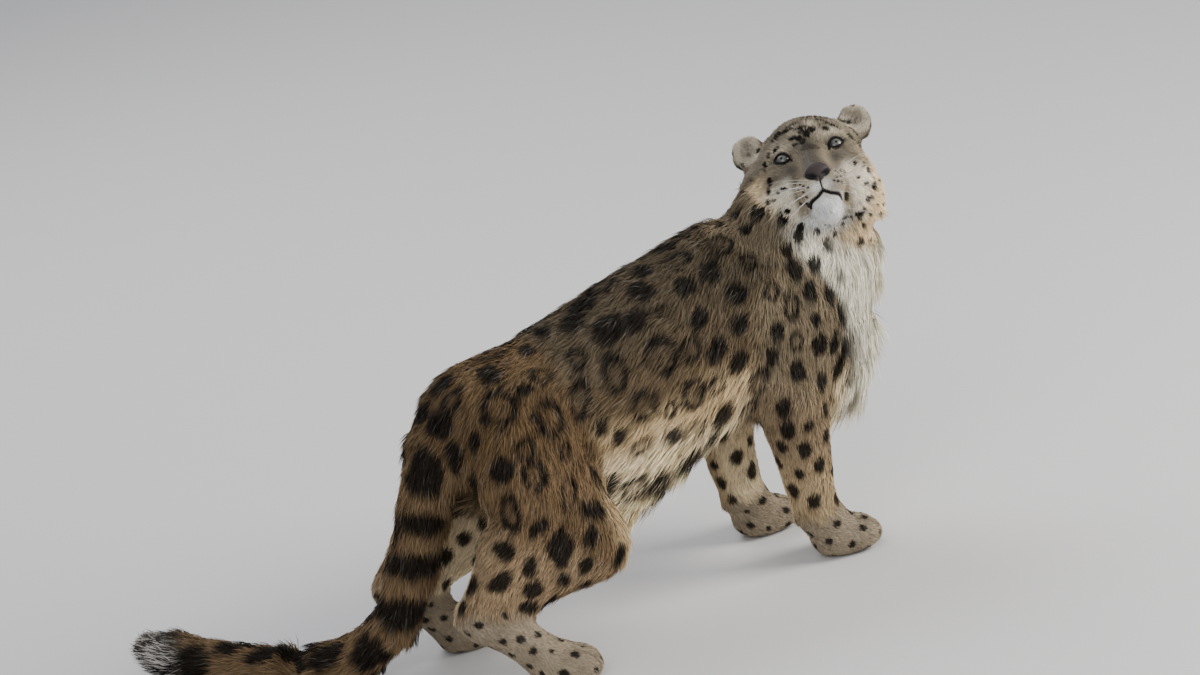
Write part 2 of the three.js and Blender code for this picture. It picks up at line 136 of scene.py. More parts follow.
def cameraAxes():
    a, e, r = (math.radians(camera[k]) for k in ("azimuth", "elevation", "roll"))
    back = np.array([math.sin(a) * math.cos(e), -math.cos(a) * math.cos(e), math.sin(e)])
    level = np.array([math.cos(a), math.sin(a), 0])
    up = np.cross(back, level)
    right = level * math.cos(r) - up * math.sin(r)
    return right, np.cross(back, right), back


camRight, camUp, camBack = cameraAxes()
cameraPlace = cameraTarget + camBack * camera["distance"]
focalPixels = camera["pixelsPerMetre"] * camera["distance"]


def pixelRay(x, y):
    way = camRight * (x - imageWide / 2) + camUp * (imageHigh / 2 - y) - camBack * focalPixels
    return Vector(cameraPlace), Vector(way).normalized()


# Skin: one closed surface for all the flesh
skinLook = {
    "voxel": 0.0064, "overlap": 0.0012, "rounds": 16, "headRounds": 3, "lastRounds": 3,
    "weld": 0.00001, "cheekInset": 0.009,
}
coatLook = {"blend": 10, "flowPasses": 3, "flowBlend": 6, "shareBlend": 6}

# For each node: coat length, how far the skin lies inside the solid, how much tufts stand up,
# tuft width, tufts for each square centimetre, and the way the coat lies
coat = {
    "head": (0.012, 0.0050, 0.30, 0.0010, 58, (0, 0, 0)),
    "ear": (0.010, 0.0015, 0.30, 0.0008, 90, (0, 0, 0)),
    "neck": (0.036, 0.0120, 0.34, 0.0015, 24, (-0.35, 0.2, -0.9)),
    "chest": (0.036, 0.0120, 0.30, 0.0016, 20, (-0.8, 0, -0.75)),
    "loin": (0.036, 0.0120, 0.30, 0.0016, 20, (-1, 0, -0.45)),
    "rump": (0.034, 0.0120, 0.30, 0.0016, 20, (-1, 0, -0.6)),
    "foreleg_upper": (0.028, 0.0090, 0.26, 0.0014, 22, (-0.25, 0, -1)),
    "foreleg_lower": (0.018, 0.0060, 0.24, 0.0012, 28, (-0.1, 0, -1)),
    "forepaw": (0.010, 0.0035, 0.22, 0.0010, 44, (1, -0.2, -0.5)),
    "hindleg_thigh": (0.032, 0.0100, 0.28, 0.0015, 22, (-0.45, 0, -1)),
    "hindleg_shank": (0.022, 0.0070, 0.26, 0.0013, 26, (-0.75, 0, -0.6)),
    "hindpaw": (0.010, 0.0035, 0.22, 0.0010, 44, (0.8, -0.3, -0.7)),
    "tail": (0.036, 0.0130, 0.34, 0.0015, 22, (0, 0, 0)),
}
coatKinds = list(coat)
coatColumn = {"length": 0, "inset": 1, "lift": 2, "width": 3, "density": 4}
tailLine = np.array([
    (-0.270, 0, 0.420), (-0.325, 0, 0.385), (-0.360, 0, 0.300), (-0.392, 0.010, 0.215),
    (-0.426, 0.040, 0.120), (-0.462, 0.118, 0.052), (-0.525, 0.205, 0.038), (-0.585, 0.310, 0.036),
    (-0.632, 0.405, 0.044), (-0.648, 0.440, 0.056),
]) + shift
tailReach = 0.045
fleshNodes = [name for name in sorted(nodes) if not name.startswith("eye")]


def kindOf(nodeName):
    fitting = [i for i, kind in enumerate(coatKinds) if nodeName.startswith(kind)]
    return max(fitting, key=lambda i: len(coatKinds[i]))


def isKind(kinds, *names):
    return np.isin(kinds, [coatKinds.index(name) for name in names])


def partShares(share):
    return {name: share[:, i] for i, name in enumerate(coatKinds)}


def coatNumbers(kinds, edges):
    table = np.array([coat[kind][:len(coatColumn)] for kind in coatKinds])
    return relaxed(table[kinds], edges, coatLook["blend"])


def makeSkin():
    bpy.ops.object.select_all(action="DESELECT")
    for name in fleshNodes:
        copied = nodes[name].copy()
        copied.data = nodes[name].data.copy()
        copied.parent = None
        copied.matrix_world = Matrix.Identity(4)
        bpy.context.collection.objects.link(copied)
        copied.select_set(True)
        bpy.context.view_layer.objects.active = copied
    bpy.ops.object.join()
    made = bpy.context.active_object
    made.name = "skin"
    made.data.materials.clear()
    bpy.ops.object.mode_set(mode="EDIT")
    bpy.ops.mesh.select_all(action="SELECT")
    bpy.ops.mesh.remove_doubles(threshold=skinLook["weld"])
    bpy.ops.object.mode_set(mode="OBJECT")
    swell = made.modifiers.new("overlap", "DISPLACE")
    swell.strength = skinLook["overlap"]
    swell.mid_level = 0
    bpy.ops.object.modifier_apply(modifier="overlap")
    made.data.remesh_voxel_size = skinLook["voxel"]
    bpy.ops.object.voxel_remesh()
    return made


def keepLargest(obj):
    mesh = bmesh.new()
    mesh.from_mesh(obj.data)
    mesh.verts.ensure_lookup_table()
    island = np.full(len(mesh.verts), -1)
    count = 0
    for start in range(len(mesh.verts)):
        if island[start] >= 0:
            continue
        island[start] = count
        stack = [mesh.verts[start]]
        while stack:
            for edge in stack.pop().link_edges:
                for vert in edge.verts:
                    if island[vert.index] < 0:
                        island[vert.index] = count
                        stack.append(vert)
        count += 1
    best = np.argmax(np.bincount(island))
    bmesh.ops.delete(mesh, geom=[v for v in mesh.verts if island[v.index] != best], context="VERTS")
    mesh.to_mesh(obj.data)
    mesh.free()


def placesOf(mesh):
    flat = np.empty(len(mesh.vertices) * 3)
    mesh.vertices.foreach_get("co", flat)
    return flat.reshape(-1, 3)


def normalsOf(mesh):
    flat = np.empty(len(mesh.vertices) * 3)
    mesh.vertices.foreach_get("normal", flat)
    return flat.reshape(-1, 3)


def setPlaces(mesh, places):
    mesh.vertices.foreach_set("co", np.asarray(places, dtype=np.float32).ravel())
    mesh.update()


def edgesOf(mesh):
    flat = np.empty(len(mesh.edges) * 2, dtype=np.int64)
    mesh.edges.foreach_get("vertices", flat)
    return flat.reshape(-1, 2)


def relaxed(values, edges, rounds, share=0.5):
    count = len(values)
    ends = np.concatenate([edges[:, 0], edges[:, 1]])
    others = np.concatenate([edges[:, 1], edges[:, 0]])
    degree = np.maximum(np.bincount(ends, minlength=count), 1)
    values = np.array(values, dtype=float)
    flatShape = values.ndim == 1
    if flatShape:
        values = values[:, None]
    amount = np.broadcast_to(np.asarray(share, dtype=float), (count,))[:, None]
    for _ in range(rounds):
        sums = [np.bincount(ends, weights=column[others], minlength=count) for column in values.T]
        values = values + (np.stack(sums, axis=1) / degree[:, None] - values) * amount
    return values[:, 0] if flatShape else values


def unit(vectors):
    return vectors / np.maximum(np.linalg.norm(vectors, axis=-1, keepdims=True), 1e-9)


# The points and faces of each node, to tell which part of the body a place belongs to
nodeTree = KDTree(sum(len(nodes[n].data.vertices) + len(nodes[n].data.polygons) for n in fleshNodes))
treeKinds = []
for name in fleshNodes:
    for item in nodes[name].data.vertices:
        nodeTree.insert(item.co, len(treeKinds))
        treeKinds.append(kindOf(name))
    for item in nodes[name].data.polygons:
        nodeTree.insert(item.center, len(treeKinds))
        treeKinds.append(kindOf(name))
nodeTree.balance()


def kindsAt(places):
    return np.array([treeKinds[nodeTree.find(p)[1]] for p in places])


def tailFlow(places):
    middle = (tailLine[1:] + tailLine[:-1]) / 2
    run = unit(tailLine[1:] - tailLine[:-1])
    gap = np.linalg.norm(places[:, None] - middle[None], axis=2)
    weight = np.exp(-(gap / tailReach) ** 2) + 1e-9
    return unit((weight[..., None] * run).sum(1))


skin = makeSkin()
keepLargest(skin)
mesh = skin.data
places = placesOf(mesh)
edges = edgesOf(mesh)
kinds = kindsAt(places)
print("skin remeshed", len(places), "points")

# Facets are smoothed away, least on the head, ears and feet, and the ruffed cheeks are sunk deeper
fine = isKind(kinds, "head", "ear", "forepaw", "hindpaw").astype(float)
ahead, aside, above = inHead(places).T
cheeks = fade("cheekAside", np.abs(aside)) * fade("cheekBelow", above) * fade("cheekBehind", ahead)
cheeks = relaxed(cheeks * isKind(kinds, "head"), edges, 4)
fine = relaxed(fine, edges, 8) * (1 - cheeks)
places = relaxed(places, edges, skinLook["headRounds"])
places = relaxed(places, edges, skinLook["rounds"], 0.5 * (1 - fine))
setPlaces(mesh, places)
inset = coatNumbers(kinds, edges)[:, coatColumn["inset"]] + skinLook["cheekInset"] * cheeks
places = places - normalsOf(mesh) * inset[:, None]
places = relaxed(places, edges, skinLook["lastRounds"], 0.5 * (1 - fine))
setPlaces(mesh, places)


# Face and paws: their skin is made finer, then shaped. Each spot is in the head's own axes.
faceMiddle = np.array([0.045, 0, -0.035])
fineSpots = [
    (faceMiddle, 0.105), ([0.055, 0.043, 0.008], 0.034), ([0.055, -0.043, 0.008], 0.034),
    ([0.095, 0, -0.070], 0.048),
]
eyeRefine = {"ahead": 0.010, "radius": 0.023}
faceSmooth = {"radius": 0.11, "rounds": 4}


def refine(obj, centre, radius):
    mesh = bmesh.new()
    mesh.from_mesh(obj.data)
    spot = Vector(centre)
    chosen = [e for e in mesh.edges if all((v.co - spot).length < radius for v in e.verts)]
    bmesh.ops.subdivide_edges(mesh, edges=chosen, cuts=1, use_grid_fill=True)
    mesh.to_mesh(obj.data)
    mesh.free()


for spot, radius in fineSpots:
    refine(skin, fromHead(spot), radius)
for side in ("left", "right"):
    refine(skin, eyeCentres[side] + headAxes[:, 0] * eyeRefine["ahead"], eyeRefine["radius"])

# Each paw: its middle on the floor, the way it points, and its size
paws = [
    ((0.330, -0.104), -12, 0.037), ((0.310, 0.088), 0, 0.037),
    ((-0.262, -0.148), -25, 0.034), ((-0.270, 0.118), 4, 0.034),
]
# Three creases part four toes. Places along and across a paw are shares of its size.
toes = {
    "from": 0.55, "full": 0.95, "to": 3, "aside": 2, "top": 0.07, "spacing": 0.60, "root": 0.65,
    "spread": 0.28, "crease": 0.0028, "fineAt": 1.35, "fineUp": 0.03, "fineRadius": 0.052,
}


def toeCrease(points):
    crease = np.zeros(len(points))
    for middle, heading, size in paws:
        way = np.array([math.cos(math.radians(heading)), math.sin(math.radians(heading))])
        offset = (points - shift)[:, :2] - np.array(middle)
        ahead, aside = offset @ way, offset @ np.array([-way[1], way[0]])
        onToes = smoothStep(toes["from"] * size, toes["full"] * size, ahead) * (ahead < toes["to"] * size)
        onToes = onToes * (np.abs(aside) < toes["aside"] * size) * (points[:, 2] < toes["top"])
        for n in (-1, 0, 1):
            line = n * toes["spacing"] * size * (toes["root"] + toes["spread"] * ahead / size)
            crease = np.maximum(crease, onToes * np.exp(-(((aside - line) / toes["crease"]) ** 2)))
    return crease


for middle, heading, size in paws:
    reach = toes["fineAt"] * size
    turn = math.radians(heading)
    spot = [middle[0] + math.cos(turn) * reach, middle[1] + math.sin(turn) * reach, toes["fineUp"]]
    refine(skin, np.array(spot) + shift, toes["fineRadius"])
mesh = skin.data
places = placesOf(mesh)
edges = edgesOf(mesh)
onFace = np.linalg.norm(inHead(places) - faceMiddle, axis=1) < faceSmooth["radius"]
places = relaxed(places, edges, faceSmooth["rounds"], 0.5 * onFace)
print("face refined", len(places), "points")

# Lids: half the opening's width, its height above and below the middle, how each edge bends, and
# the opening's lean. An eye looks a little outwards and up.
lid = {
    "width": 0.0142, "upper": 0.0086, "lower": 0.0076, "upperBend": 2.0, "lowerBend": 2.4, "tilt": 12,
    "outward": 12, "rise": 0.08, "over": 0.0010, "lip": 0.0006, "lipWidth": 0.004, "rim": 0.0016,
    "rimSwell": 0.35, "melt": 0.0055, "pitDepth": 0.0035, "collar": 0.0165, "collarLow": 0.0002,
    "collarHigh": 0.0030, "behind": -0.004, "reach": 0.026,
}
brow = {"height": 0.0022, "up": 0.0150, "thick": 0.0050, "wide": 0.017}


def eyeFrame(side):
    s = 1 if side == "left" else -1
    turn = math.radians(lid["outward"] * s)
    forward = headAxes @ np.array([math.cos(turn), math.sin(turn), lid["rise"]])
    forward = forward / np.linalg.norm(forward)
    out = unit(np.cross(headAxes[:, 2], forward)) * s
    up = unit(np.cross(forward, out)) * s
    tilt = math.radians(lid["tilt"])
    return forward, out * math.cos(tilt) + up * math.sin(tilt), up * math.cos(tilt) - out * math.sin(tilt)


def lidHeights(share):
    return lid["upper"] * (1 - share ** lid["upperBend"]), -lid["lower"] * (1 - share ** lid["lowerBend"])


def lidEdge(across, along):
    upper, lower = lidHeights(np.clip(np.abs(across) / lid["width"], 0, 1))
    inside = np.where(along > 0, upper - along, along - lower)
    return np.where(np.abs(across) < lid["width"], inside, -1)


for side in ("left", "right"):
    forward, out, up = eyeFrame(side)
    offset = places - eyeCentres[side]
    f, a, u = offset @ forward, offset @ out, offset @ up
    reach = np.hypot(a, u)
    opening = lidEdge(a, u)
    shell = skull["eyeRadius"] + lid["over"] + lid["lip"] * smoothStep(0, lid["lipWidth"], -opening)
    dome = np.sqrt(np.maximum(shell**2 - reach**2, 0))
    overlap = np.clip(lid["melt"] - np.abs(f - dome), 0, None) / lid["melt"]
    raised = np.maximum(f, dome) + overlap**2 * lid["melt"] / 4
    # The brow juts over the eye
    onBrow = ((u - brow["up"]) / brow["thick"]) ** 2 + (a / brow["wide"]) ** 2
    raised = raised + brow["height"] * np.exp(-onBrow)
    pit = np.sqrt(np.maximum((skull["eyeRadius"] - lid["pitDepth"]) ** 2 - reach**2, 0))
    collar = np.clip(raised, dome + lid["collarLow"], dome + lid["collarHigh"])
    wanted = np.where(opening > 0, pit, np.where(reach < lid["collar"], collar, raised))
    zone = (f > lid["behind"]) & (reach < lid["reach"])
    places = np.where(zone[:, None], places + forward * (wanted - f)[:, None], places)


def gauss(points, centre, size):
    return np.exp(-(((points - np.array(centre)) / np.array(size)) ** 2).sum(1))


def strokeDistance(points, line):
    best = np.full(len(points), 1.0)
    for a, b in zip(line[:-1], line[1:]):
        a, b = np.array(a), np.array(b)
        run = b - a
        t = np.clip(((points - a) @ run) / (run @ run), 0, 1)
        best = np.minimum(best, np.linalg.norm(points - a - t[:, None] * run, axis=1))
    return best


# The mouth runs from below the nose to each corner, in the head's own left and up
mouth = {
    "groove": [(0.0, -0.060), (0.0, -0.078)],
    "lips": [(0.0, -0.079), (0.011, -0.0855), (0.024, -0.0885), (0.036, -0.0975), (0.041, -0.106)],
    "padUp": (-0.0670, -0.0655, -0.0600, -0.0545, -0.0465, -0.0400, -0.0355, -0.0340),
    "padHalf": (-0.004, 0.0050, 0.0100, 0.0205, 0.0200, 0.0150, 0.0080, -0.004),
    "nostril": (0.0125, -0.0555),
    "ahead": 0.050,
}
# How far each feature is pushed out (or, below zero, in), and its half width
relief = {
    "pad": 0.0022, "padEdge": 0.0015, "nostril": -0.0060, "toes": -0.0040, "groove": (-0.0022, 0.0014),
    "lips": (-0.0030, 0.0016), "lipRoll": (0.0012, 0.0025), "lipRollAt": 0.004,
}


def noseInside(outline):
    half = np.interp(outline[:, 1], mouth["padUp"], mouth["padHalf"])
    return half - outline[:, 0]


# A nostril is a comma: it leans and bends up towards its outer end
comma = {"lean": 0.35, "bend": 20, "long": 0.0084, "high": 0.0044}


def nostrilAt(outline):
    x, y = (outline - np.array(mouth["nostril"])).T
    y = y - comma["lean"] * x - comma["bend"] * np.clip(x, 0, None) ** 2
    return np.exp(-((x / comma["long"]) ** 2) - (y / comma["high"]) ** 2)


def faceOutline(points):
    ahead, aside, above = inHead(points).T
    return np.stack([np.abs(aside), above], axis=1), ahead > mouth["ahead"]


def ridge(feature, gap):
    height, halfWidth = relief[feature]
    return height * np.exp(-((gap / halfWidth) ** 2))


setPlaces(mesh, places)
normals = normalsOf(mesh)
outline, frontal = faceOutline(places)
lipGap = strokeDistance(outline, mouth["lips"])
philtrum = strokeDistance(outline, mouth["groove"])
push = relief["pad"] * smoothStep(-relief["padEdge"], relief["padEdge"], noseInside(outline))
push = push + relief["nostril"] * nostrilAt(outline) + ridge("groove", philtrum)
push = push + ridge("lips", lipGap) + ridge("lipRoll", lipGap - relief["lipRollAt"])
push = push * frontal + relief["toes"] * toeCrease(places)
places = places + normals * push[:, None]
setPlaces(mesh, places)
bpy.ops.object.select_all(action="DESELECT")
skin.select_set(True)
bpy.context.view_layer.objects.active = skin
bpy.ops.object.shade_smooth()
print("face shaped")

# How the coat lies at every point of the skin: from the nose back over the head, out along the
# ears, along the tail, and down the front of the chest
lie = {"nose": (0.100, 0, -0.040), "swept": (-0.02, 0, 0), "ear": (-0.1, 0.55, 0.8), "bib": (-0.25, 0, -1.0)}
lie = {name: np.array(way) for name, way in lie.items()}
normals = normalsOf(mesh)
kinds = kindsAt(places)
numbers = coatNumbers(kinds, edges)
flow = np.array([coat[kind][-1] for kind in coatKinds], dtype=float)[kinds]
onTail, onHead = isKind(kinds, "tail"), isKind(kinds, "head")
flow[onTail] = tailFlow(places[onTail])
near = inHead(places)
flow[onHead] = unit(near - lie["nose"] + lie["swept"])[onHead] @ headAxes.T
for s in (1, -1):
    own = isKind(kinds, "ear") & (near[:, 1] * s > 0)
    flow[own] = headAxes @ (lie["ear"] * [1, s, 1])
front = (fade("bib", places[:, 0]) * isKind(kinds, "chest", "neck"))[:, None]
flow = flow * (1 - front) + lie["bib"] * front
for _ in range(coatLook["flowPasses"]):
    flow = relaxed(unit(flow), edges, coatLook["flowBlend"])
    flow = flow - normals * (flow * normals).sum(1)[:, None]
flow = unit(flow)

# Markings, the same on skin and coat

tints = {
    "back": (0.090, 0.068, 0.042),
    "flank": (0.135, 0.094, 0.052),
    "lowFlank": (0.560, 0.415, 0.235),
    "belly": (0.940, 0.770, 0.510),
    "haunch": (0.138, 0.085, 0.040),
    "thigh": (0.185, 0.118, 0.060),
    "shank": (0.310, 0.215, 0.122),
    "shoulder": (0.215, 0.165, 0.102),
    "foreleg": (0.270, 0.194, 0.114),
    "paw": (0.370, 0.298, 0.208),
    "white": (0.830, 0.780, 0.640),
    "tail": (0.195, 0.125, 0.064),
    "tailTip": (0.050, 0.044, 0.038),
    "crown": (0.120, 0.092, 0.060),
    "face": (0.205, 0.170, 0.120),
    "brow": (0.640, 0.550, 0.400),
    "bridge": (0.098, 0.083, 0.063),
    "underEye": (0.240, 0.205, 0.155),
    "eyePatch": (0.070, 0.060, 0.048),
    "noseSide": (0.350, 0.275, 0.180),
    "cheek": (0.900, 0.810, 0.650),
    "muzzle": (0.430, 0.355, 0.250),
    "ruff": (0.880, 0.670, 0.400),
    "chin": (0.880, 0.880, 0.850),
    "earBack": (0.045, 0.036, 0.026),
    "earHair": (0.560, 0.490, 0.370),
    "earHollow": (0.120, 0.100, 0.080),
    "mark": (0.0080, 0.0062, 0.0046),
    "lips": (0.006, 0.005, 0.005),
    "nose": (0.040, 0.029, 0.027),
    "eyeRim": (0.006, 0.005, 0.005),
    "toe": (0.060, 0.046, 0.030),
}
tints = {name: np.array(colour) for name, colour in tints.items()}


def mixed(under, over, amount):
    amount = np.clip(amount, 0, 1)[:, None]
    return under * (1 - amount) + over * amount


def layered(ground, layers):
    colour = np.tile(ground, (len(layers[0][1]), 1))
    for name, amount in layers:
        colour = mixed(colour, tints[name], amount)
    return colour


# How far the edges between grounds wander, and how big their waves are
waver = {"reach": 0.020, "size": 0.05}
# The tail's tip is told by x and y together, as it lies slantwise
slant = {"y": 0.44, "share": 0.35}


def alongTail(x, y):
    return x - slant["share"] * (y - slant["y"])


def groundTint(points, normals, part):
    x, y, z = (points - shift).T
    up = normals[:, 2]
    torso = part["chest"] + part["loin"] + part["rump"]
    trunkAndNeck = torso + part["neck"]
    thigh = part["hindleg_thigh"]
    wave = waver["reach"] * noise(points, waver["size"], 61)
    chestFront = fade("chestFront", x + wave) * fade("chestUnder", up)
    throat = part["neck"] * fade("throatAhead", x) * fade("throatAside", y) * fade("throatUnder", up)
    nape = part["neck"] * fade("napeAbove", z) * fade("napeAside", y)
    insides = part["foreleg_lower"] + part["foreleg_upper"] + thigh + part["hindleg_shank"]
    layers = [
        ("back", fade("back", up) * trunkAndNeck),
        ("shoulder", part["neck"]),
        ("lowFlank", fade("lowFlank", z + wave) * torso),
        ("belly", fade("belly", z + wave) * torso),
        ("haunch", part["rump"] * 0.8),
        ("haunch", thigh),
        ("thigh", thigh * fade("thigh", z)),
        ("shank", part["hindleg_shank"]),
        ("lowFlank", fade("thighFront", x) * thigh * fade("thighLow", z)),
        ("shoulder", part["foreleg_upper"]),
        ("foreleg", part["foreleg_upper"] * fade("foreleg", z + wave)),
        ("foreleg", part["foreleg_lower"]),
        ("lowFlank", part["foreleg_lower"] * fade("forelegLow", z) * 0.7),
        ("paw", part["forepaw"] + part["hindpaw"]),
        ("white", np.maximum(chestFront * trunkAndNeck * (1 - nape), throat)),
        ("belly", fade("inside", -normals[:, 1] * np.sign(y)) * insides * 0.8),
        ("tail", part["tail"]),
        ("tailTip", part["tail"] * fade("tailTip", alongTail(x, y))),
    ]
    colour = layered(tints["flank"], layers)
    return mixed(colour, headTint(points, normals, part), part["head"] + part["ear"])


# Soft patches of the face: tint, centre as left and up, half sizes, strength
browPatches = [
    ("brow", (0.041, 0.032), (0.019, 0.011), 0.95), ("brow", (0.014, 0.052), (0.009, 0.016), 0.7),
    ("noseSide", (0.022, -0.016), (0.007, 0.020), 0.8),
]
eyePatches = [
    ("underEye", (0.042, -0.016), (0.015, 0.009), 0.8), ("eyePatch", (0.037, -0.017), (0.011, 0.009), 0.75),
]
chinPatches = [("chin", (0.008, -0.073), (0.012, 0.009), 0.75)]
bridgeWide = 0.015
ruffRing = {"up": -0.025, "radius": 0.100, "thick": 0.017}
earCup = {"centre": (0.091, 0.077), "size": (0.021, 0.028)}


def headTint(points, normals, part):
    f, l, u = inHead(points).T
    flat = np.abs(l)
    outline = np.stack([flat, u], axis=1)
    front = fade("faceFront", f)
    facing = (normals @ headAxes)[:, 0]
    ring = np.hypot(flat, u - ruffRing["up"])
    cup = np.hypot(*((outline - earCup["centre"]) / earCup["size"]).T)
    streaks = 0.6 + 0.5 * noise(np.stack([flat * 3.0, u * 0.6, f * 0], axis=1), 0.006, 71)

    def patches(table):
        return [(name, gauss(outline, centre, size) * power * front) for name, centre, size, power in table]

    layers = [
        ("crown", fade("faceCrown", f) * fade("faceCrownAbove", u)),
        *patches(browPatches),
        ("bridge", np.exp(-((flat / bridgeWide) ** 2)) * fade("faceBridge", f)),
        *patches(eyePatches),
        ("cheek", fade("faceCheekBelow", u) * fade("faceCheekAside", flat) * fade("faceCheekAhead", f)),
        ("muzzle", fade("faceMuzzleBelow", u) * fade("faceMuzzleAside", flat) * front),
        ("ruff", np.exp(-(((ring - ruffRing["radius"]) / ruffRing["thick"]) ** 2)) * fade("faceRuff", u)),
        *patches(chinPatches),
        ("chin", fade("faceChinBelow", u) * fade("faceChinAside", flat) * fade("faceChinAhead", f)),
        ("earHair", part["ear"] * fade("earFacing", facing)),
        ("earHollow", part["ear"] * fade("earHollow", facing) * fade("earCup", cup) * streaks),
        ("crown", part["ear"] * fade("earRim", cup) * 0.85),
        ("earBack", part["ear"] * fade("earBack", facing)),
    ]
    return layered(tints["face"], layers)


# Marks of the near side, in pixels of the photograph: centre, half width, half height, lean in
# degrees, and 1 for a ring
seenMarks = [
    (661, 355, 17, 19, 0, 1), (615, 374, 12, 20, 10, 1), (577, 359, 9, 11, 0, 1),
    (578, 399, 10, 20, -8, 1), (499, 409, 17, 19, -12, 1), (548, 418, 13, 20, -25, 1),
    (643, 404, 13, 15, 0, 1), (692, 392, 11, 17, 0, 1), (541, 376, 12, 8, 0, 1), (523, 392, 9, 6, 40, 0),
    (441, 425, 10, 14, 20, 0), (428, 466, 13, 20, 15, 0), (456, 455, 7, 17, 0, 0),
    (533, 475, 11, 16, 0, 1), (511, 511, 8, 20, 15, 1), (535, 526, 9, 7, 30, 0), (560, 547, 13, 19, 0, 0),
    (505, 551, 9, 9, 0, 0), (529, 566, 7, 11, 0, 0), (501, 581, 12, 8, 30, 0), (533, 589, 11, 8, 20, 0),
    (528, 606, 9, 7, 0, 0), (590, 510, 12, 9, 0, 0), (589, 537, 7, 10, 0, 0), (565, 492, 8, 20, -5, 1),
    (593, 477, 7, 7, 0, 0), (610, 483, 5, 12, -10, 0), (586, 455, 6, 13, -10, 1), (618, 434, 8, 9, 0, 0),
    (672, 432, 8, 8, 0, 0), (478, 483, 5, 14, 10, 0), (476, 440, 5, 12, 0, 0), (482, 518, 4, 10, 0, 0),
    (640, 442, 9, 9, 0, 1), (600, 425, 7, 8, 0, 0), (705, 430, 6, 9, 0, 0),
]
tailSeen = [
    (424, 481, 15, 14, 0, 0), (422, 522, 19, 11, 0, 0), (420, 564, 19, 12, 10, 0),
    (403, 612, 20, 15, 25, 0), (372, 650, 19, 13, 50, 0), (330, 656, 17, 9, 10, 0),
    (287, 654, 15, 8, 0, 0), (243, 650, 14, 8, 0, 0),
]

# Marks of the face, in pixels of the photograph: centre, half width, half height, lean, strength
faceSeen = [
    (784.2, 134.0, 4.9, 1.5, 10, 1), (778.6, 136.1, 1.8, 3.5, -20, 1), (793.3, 138.9, 2.1, 1.8, 0, 1),
    (798.9, 138.9, 1.8, 2.4, 0, 1), (803.8, 132.6, 2.9, 1.8, 0, 1), (801.0, 129.1, 3.5, 1.5, 10, 1),
    (811.5, 130.5, 1.5, 3.1, 0, 1), (806.6, 135.4, 1.8, 2.6, 0, 1), (795.4, 145.2, 1.8, 1.5, 0, 0.9),
    (802.4, 141.7, 1.7, 2.8, 0, 0.9), (816.5, 118.6, 6.3, 2.0, 10, 1), (824.9, 130.5, 1.8, 2.9, 0, 1),
    (820.7, 122.1, 2.8, 1.3, 0, 1), (830.5, 126.3, 3.1, 1.5, -10, 1), (834.7, 117.9, 5.6, 2.1, 10, 1),
    (848.7, 129.1, 4.2, 1.6, -35, 1), (857.1, 138.9, 2.8, 1.8, -50, 1), (858.5, 148.8, 3.7, 1.6, -60, 1),
    (864.2, 155.8, 3.1, 1.5, -60, 1), (861.4, 164.2, 1.5, 2.3, 0, 1), (854.3, 162.8, 1.3, 2.0, 0, 1),
    (868.4, 140.3, 1.5, 2.0, 0, 0.9), (848.7, 137.5, 1.7, 2.0, 0, 0.9), (776.5, 150.2, 2.0, 1.7, 0, 1),
    (767.3, 168.4, 1.8, 2.6, 0, 1), (770.9, 181.0, 2.3, 3.2, 0, 1), (765.9, 164.2, 1.3, 2.0, 0, 1),
    (784.2, 188.7, 2.7, 1.5, 10, 1), (778.6, 192.2, 1.4, 1.4, 0, 1), (770.2, 190.8, 1.3, 2.9, 0, 1),
    (768.8, 202.1, 1.3, 2.4, 0, 1), (787.7, 210.5, 2.7, 2.1, 0, 1), (765.2, 215.4, 2.1, 2.1, 0, 1),
    (784.2, 220.3, 4.3, 3.0, -25, 1), (800.3, 225.9, 3.8, 3.3, 0, 1), (816.5, 230.1, 2.4, 3.0, -25, 1),
    (827.7, 222.4, 1.6, 1.3, 0, 0.9), (834.0, 232.9, 1.3, 2.5, 0, 0.9), (844.5, 216.8, 3.0, 1.3, 0, 0.9),
    (858.5, 212.6, 3.8, 2.7, 15, 1), (867.0, 197.2, 3.0, 2.4, 15, 1), (871.9, 185.2, 2.2, 3.8, 0, 1),
    (864.2, 183.1, 2.2, 1.4, 10, 1), (857.8, 176.8, 1.3, 1.3, 0, 1), (808.7, 205.4, 2.6, 4.8, -28, 0.95),
    (845.9, 196.5, 2.2, 4.6, 8, 0.95), (809.4, 147.4, 4.0, 3.0, 0, 0.5),
    (775.1, 141.0, 1.5, 2.6, 10, 0.9), (770.5, 156.0, 1.4, 2.4, 0, 0.9),
    (845.5, 122.5, 3.0, 1.6, -25, 0.9), (792.0, 127.0, 3.0, 1.4, 12, 0.9),
    (808.0, 121.5, 3.0, 1.5, 10, 0.9), (866.0, 170.5, 1.6, 2.8, -10, 0.9),
    (775.0, 200.0, 1.6, 2.0, 0, 0.8),
]
whiskerSpots = [
    (800.3, 184.5), (803.8, 186.6), (808.0, 187.3), (798.2, 189.4), (803.1, 192.2), (796.8, 194.4),
    (801.7, 197.2), (806.6, 197.2), (804.5, 203.5), (801.0, 203.5), (836.1, 171.2), (840.3, 171.2),
    (844.5, 171.9), (836.8, 176.8), (841.0, 176.8), (844.5, 178.2), (834.0, 180.3), (838.2, 181.0),
    (841.7, 182.4),
]
faceSeen += [(x, y, 1.0, 0.9, 0, 0.85) for x, y in whiskerSpots]
# A mark seen aslant is widened, within limits. A mirrored one differs a little from its twin.
marking = {
    "leastFacing": 0.6, "twinShift": 0.012, "twinSize": (0.85, 1.15),
    "faceGrown": 1.05, "browGrown": 1.30, "browLine": 150, "facePad": 0.3,
}


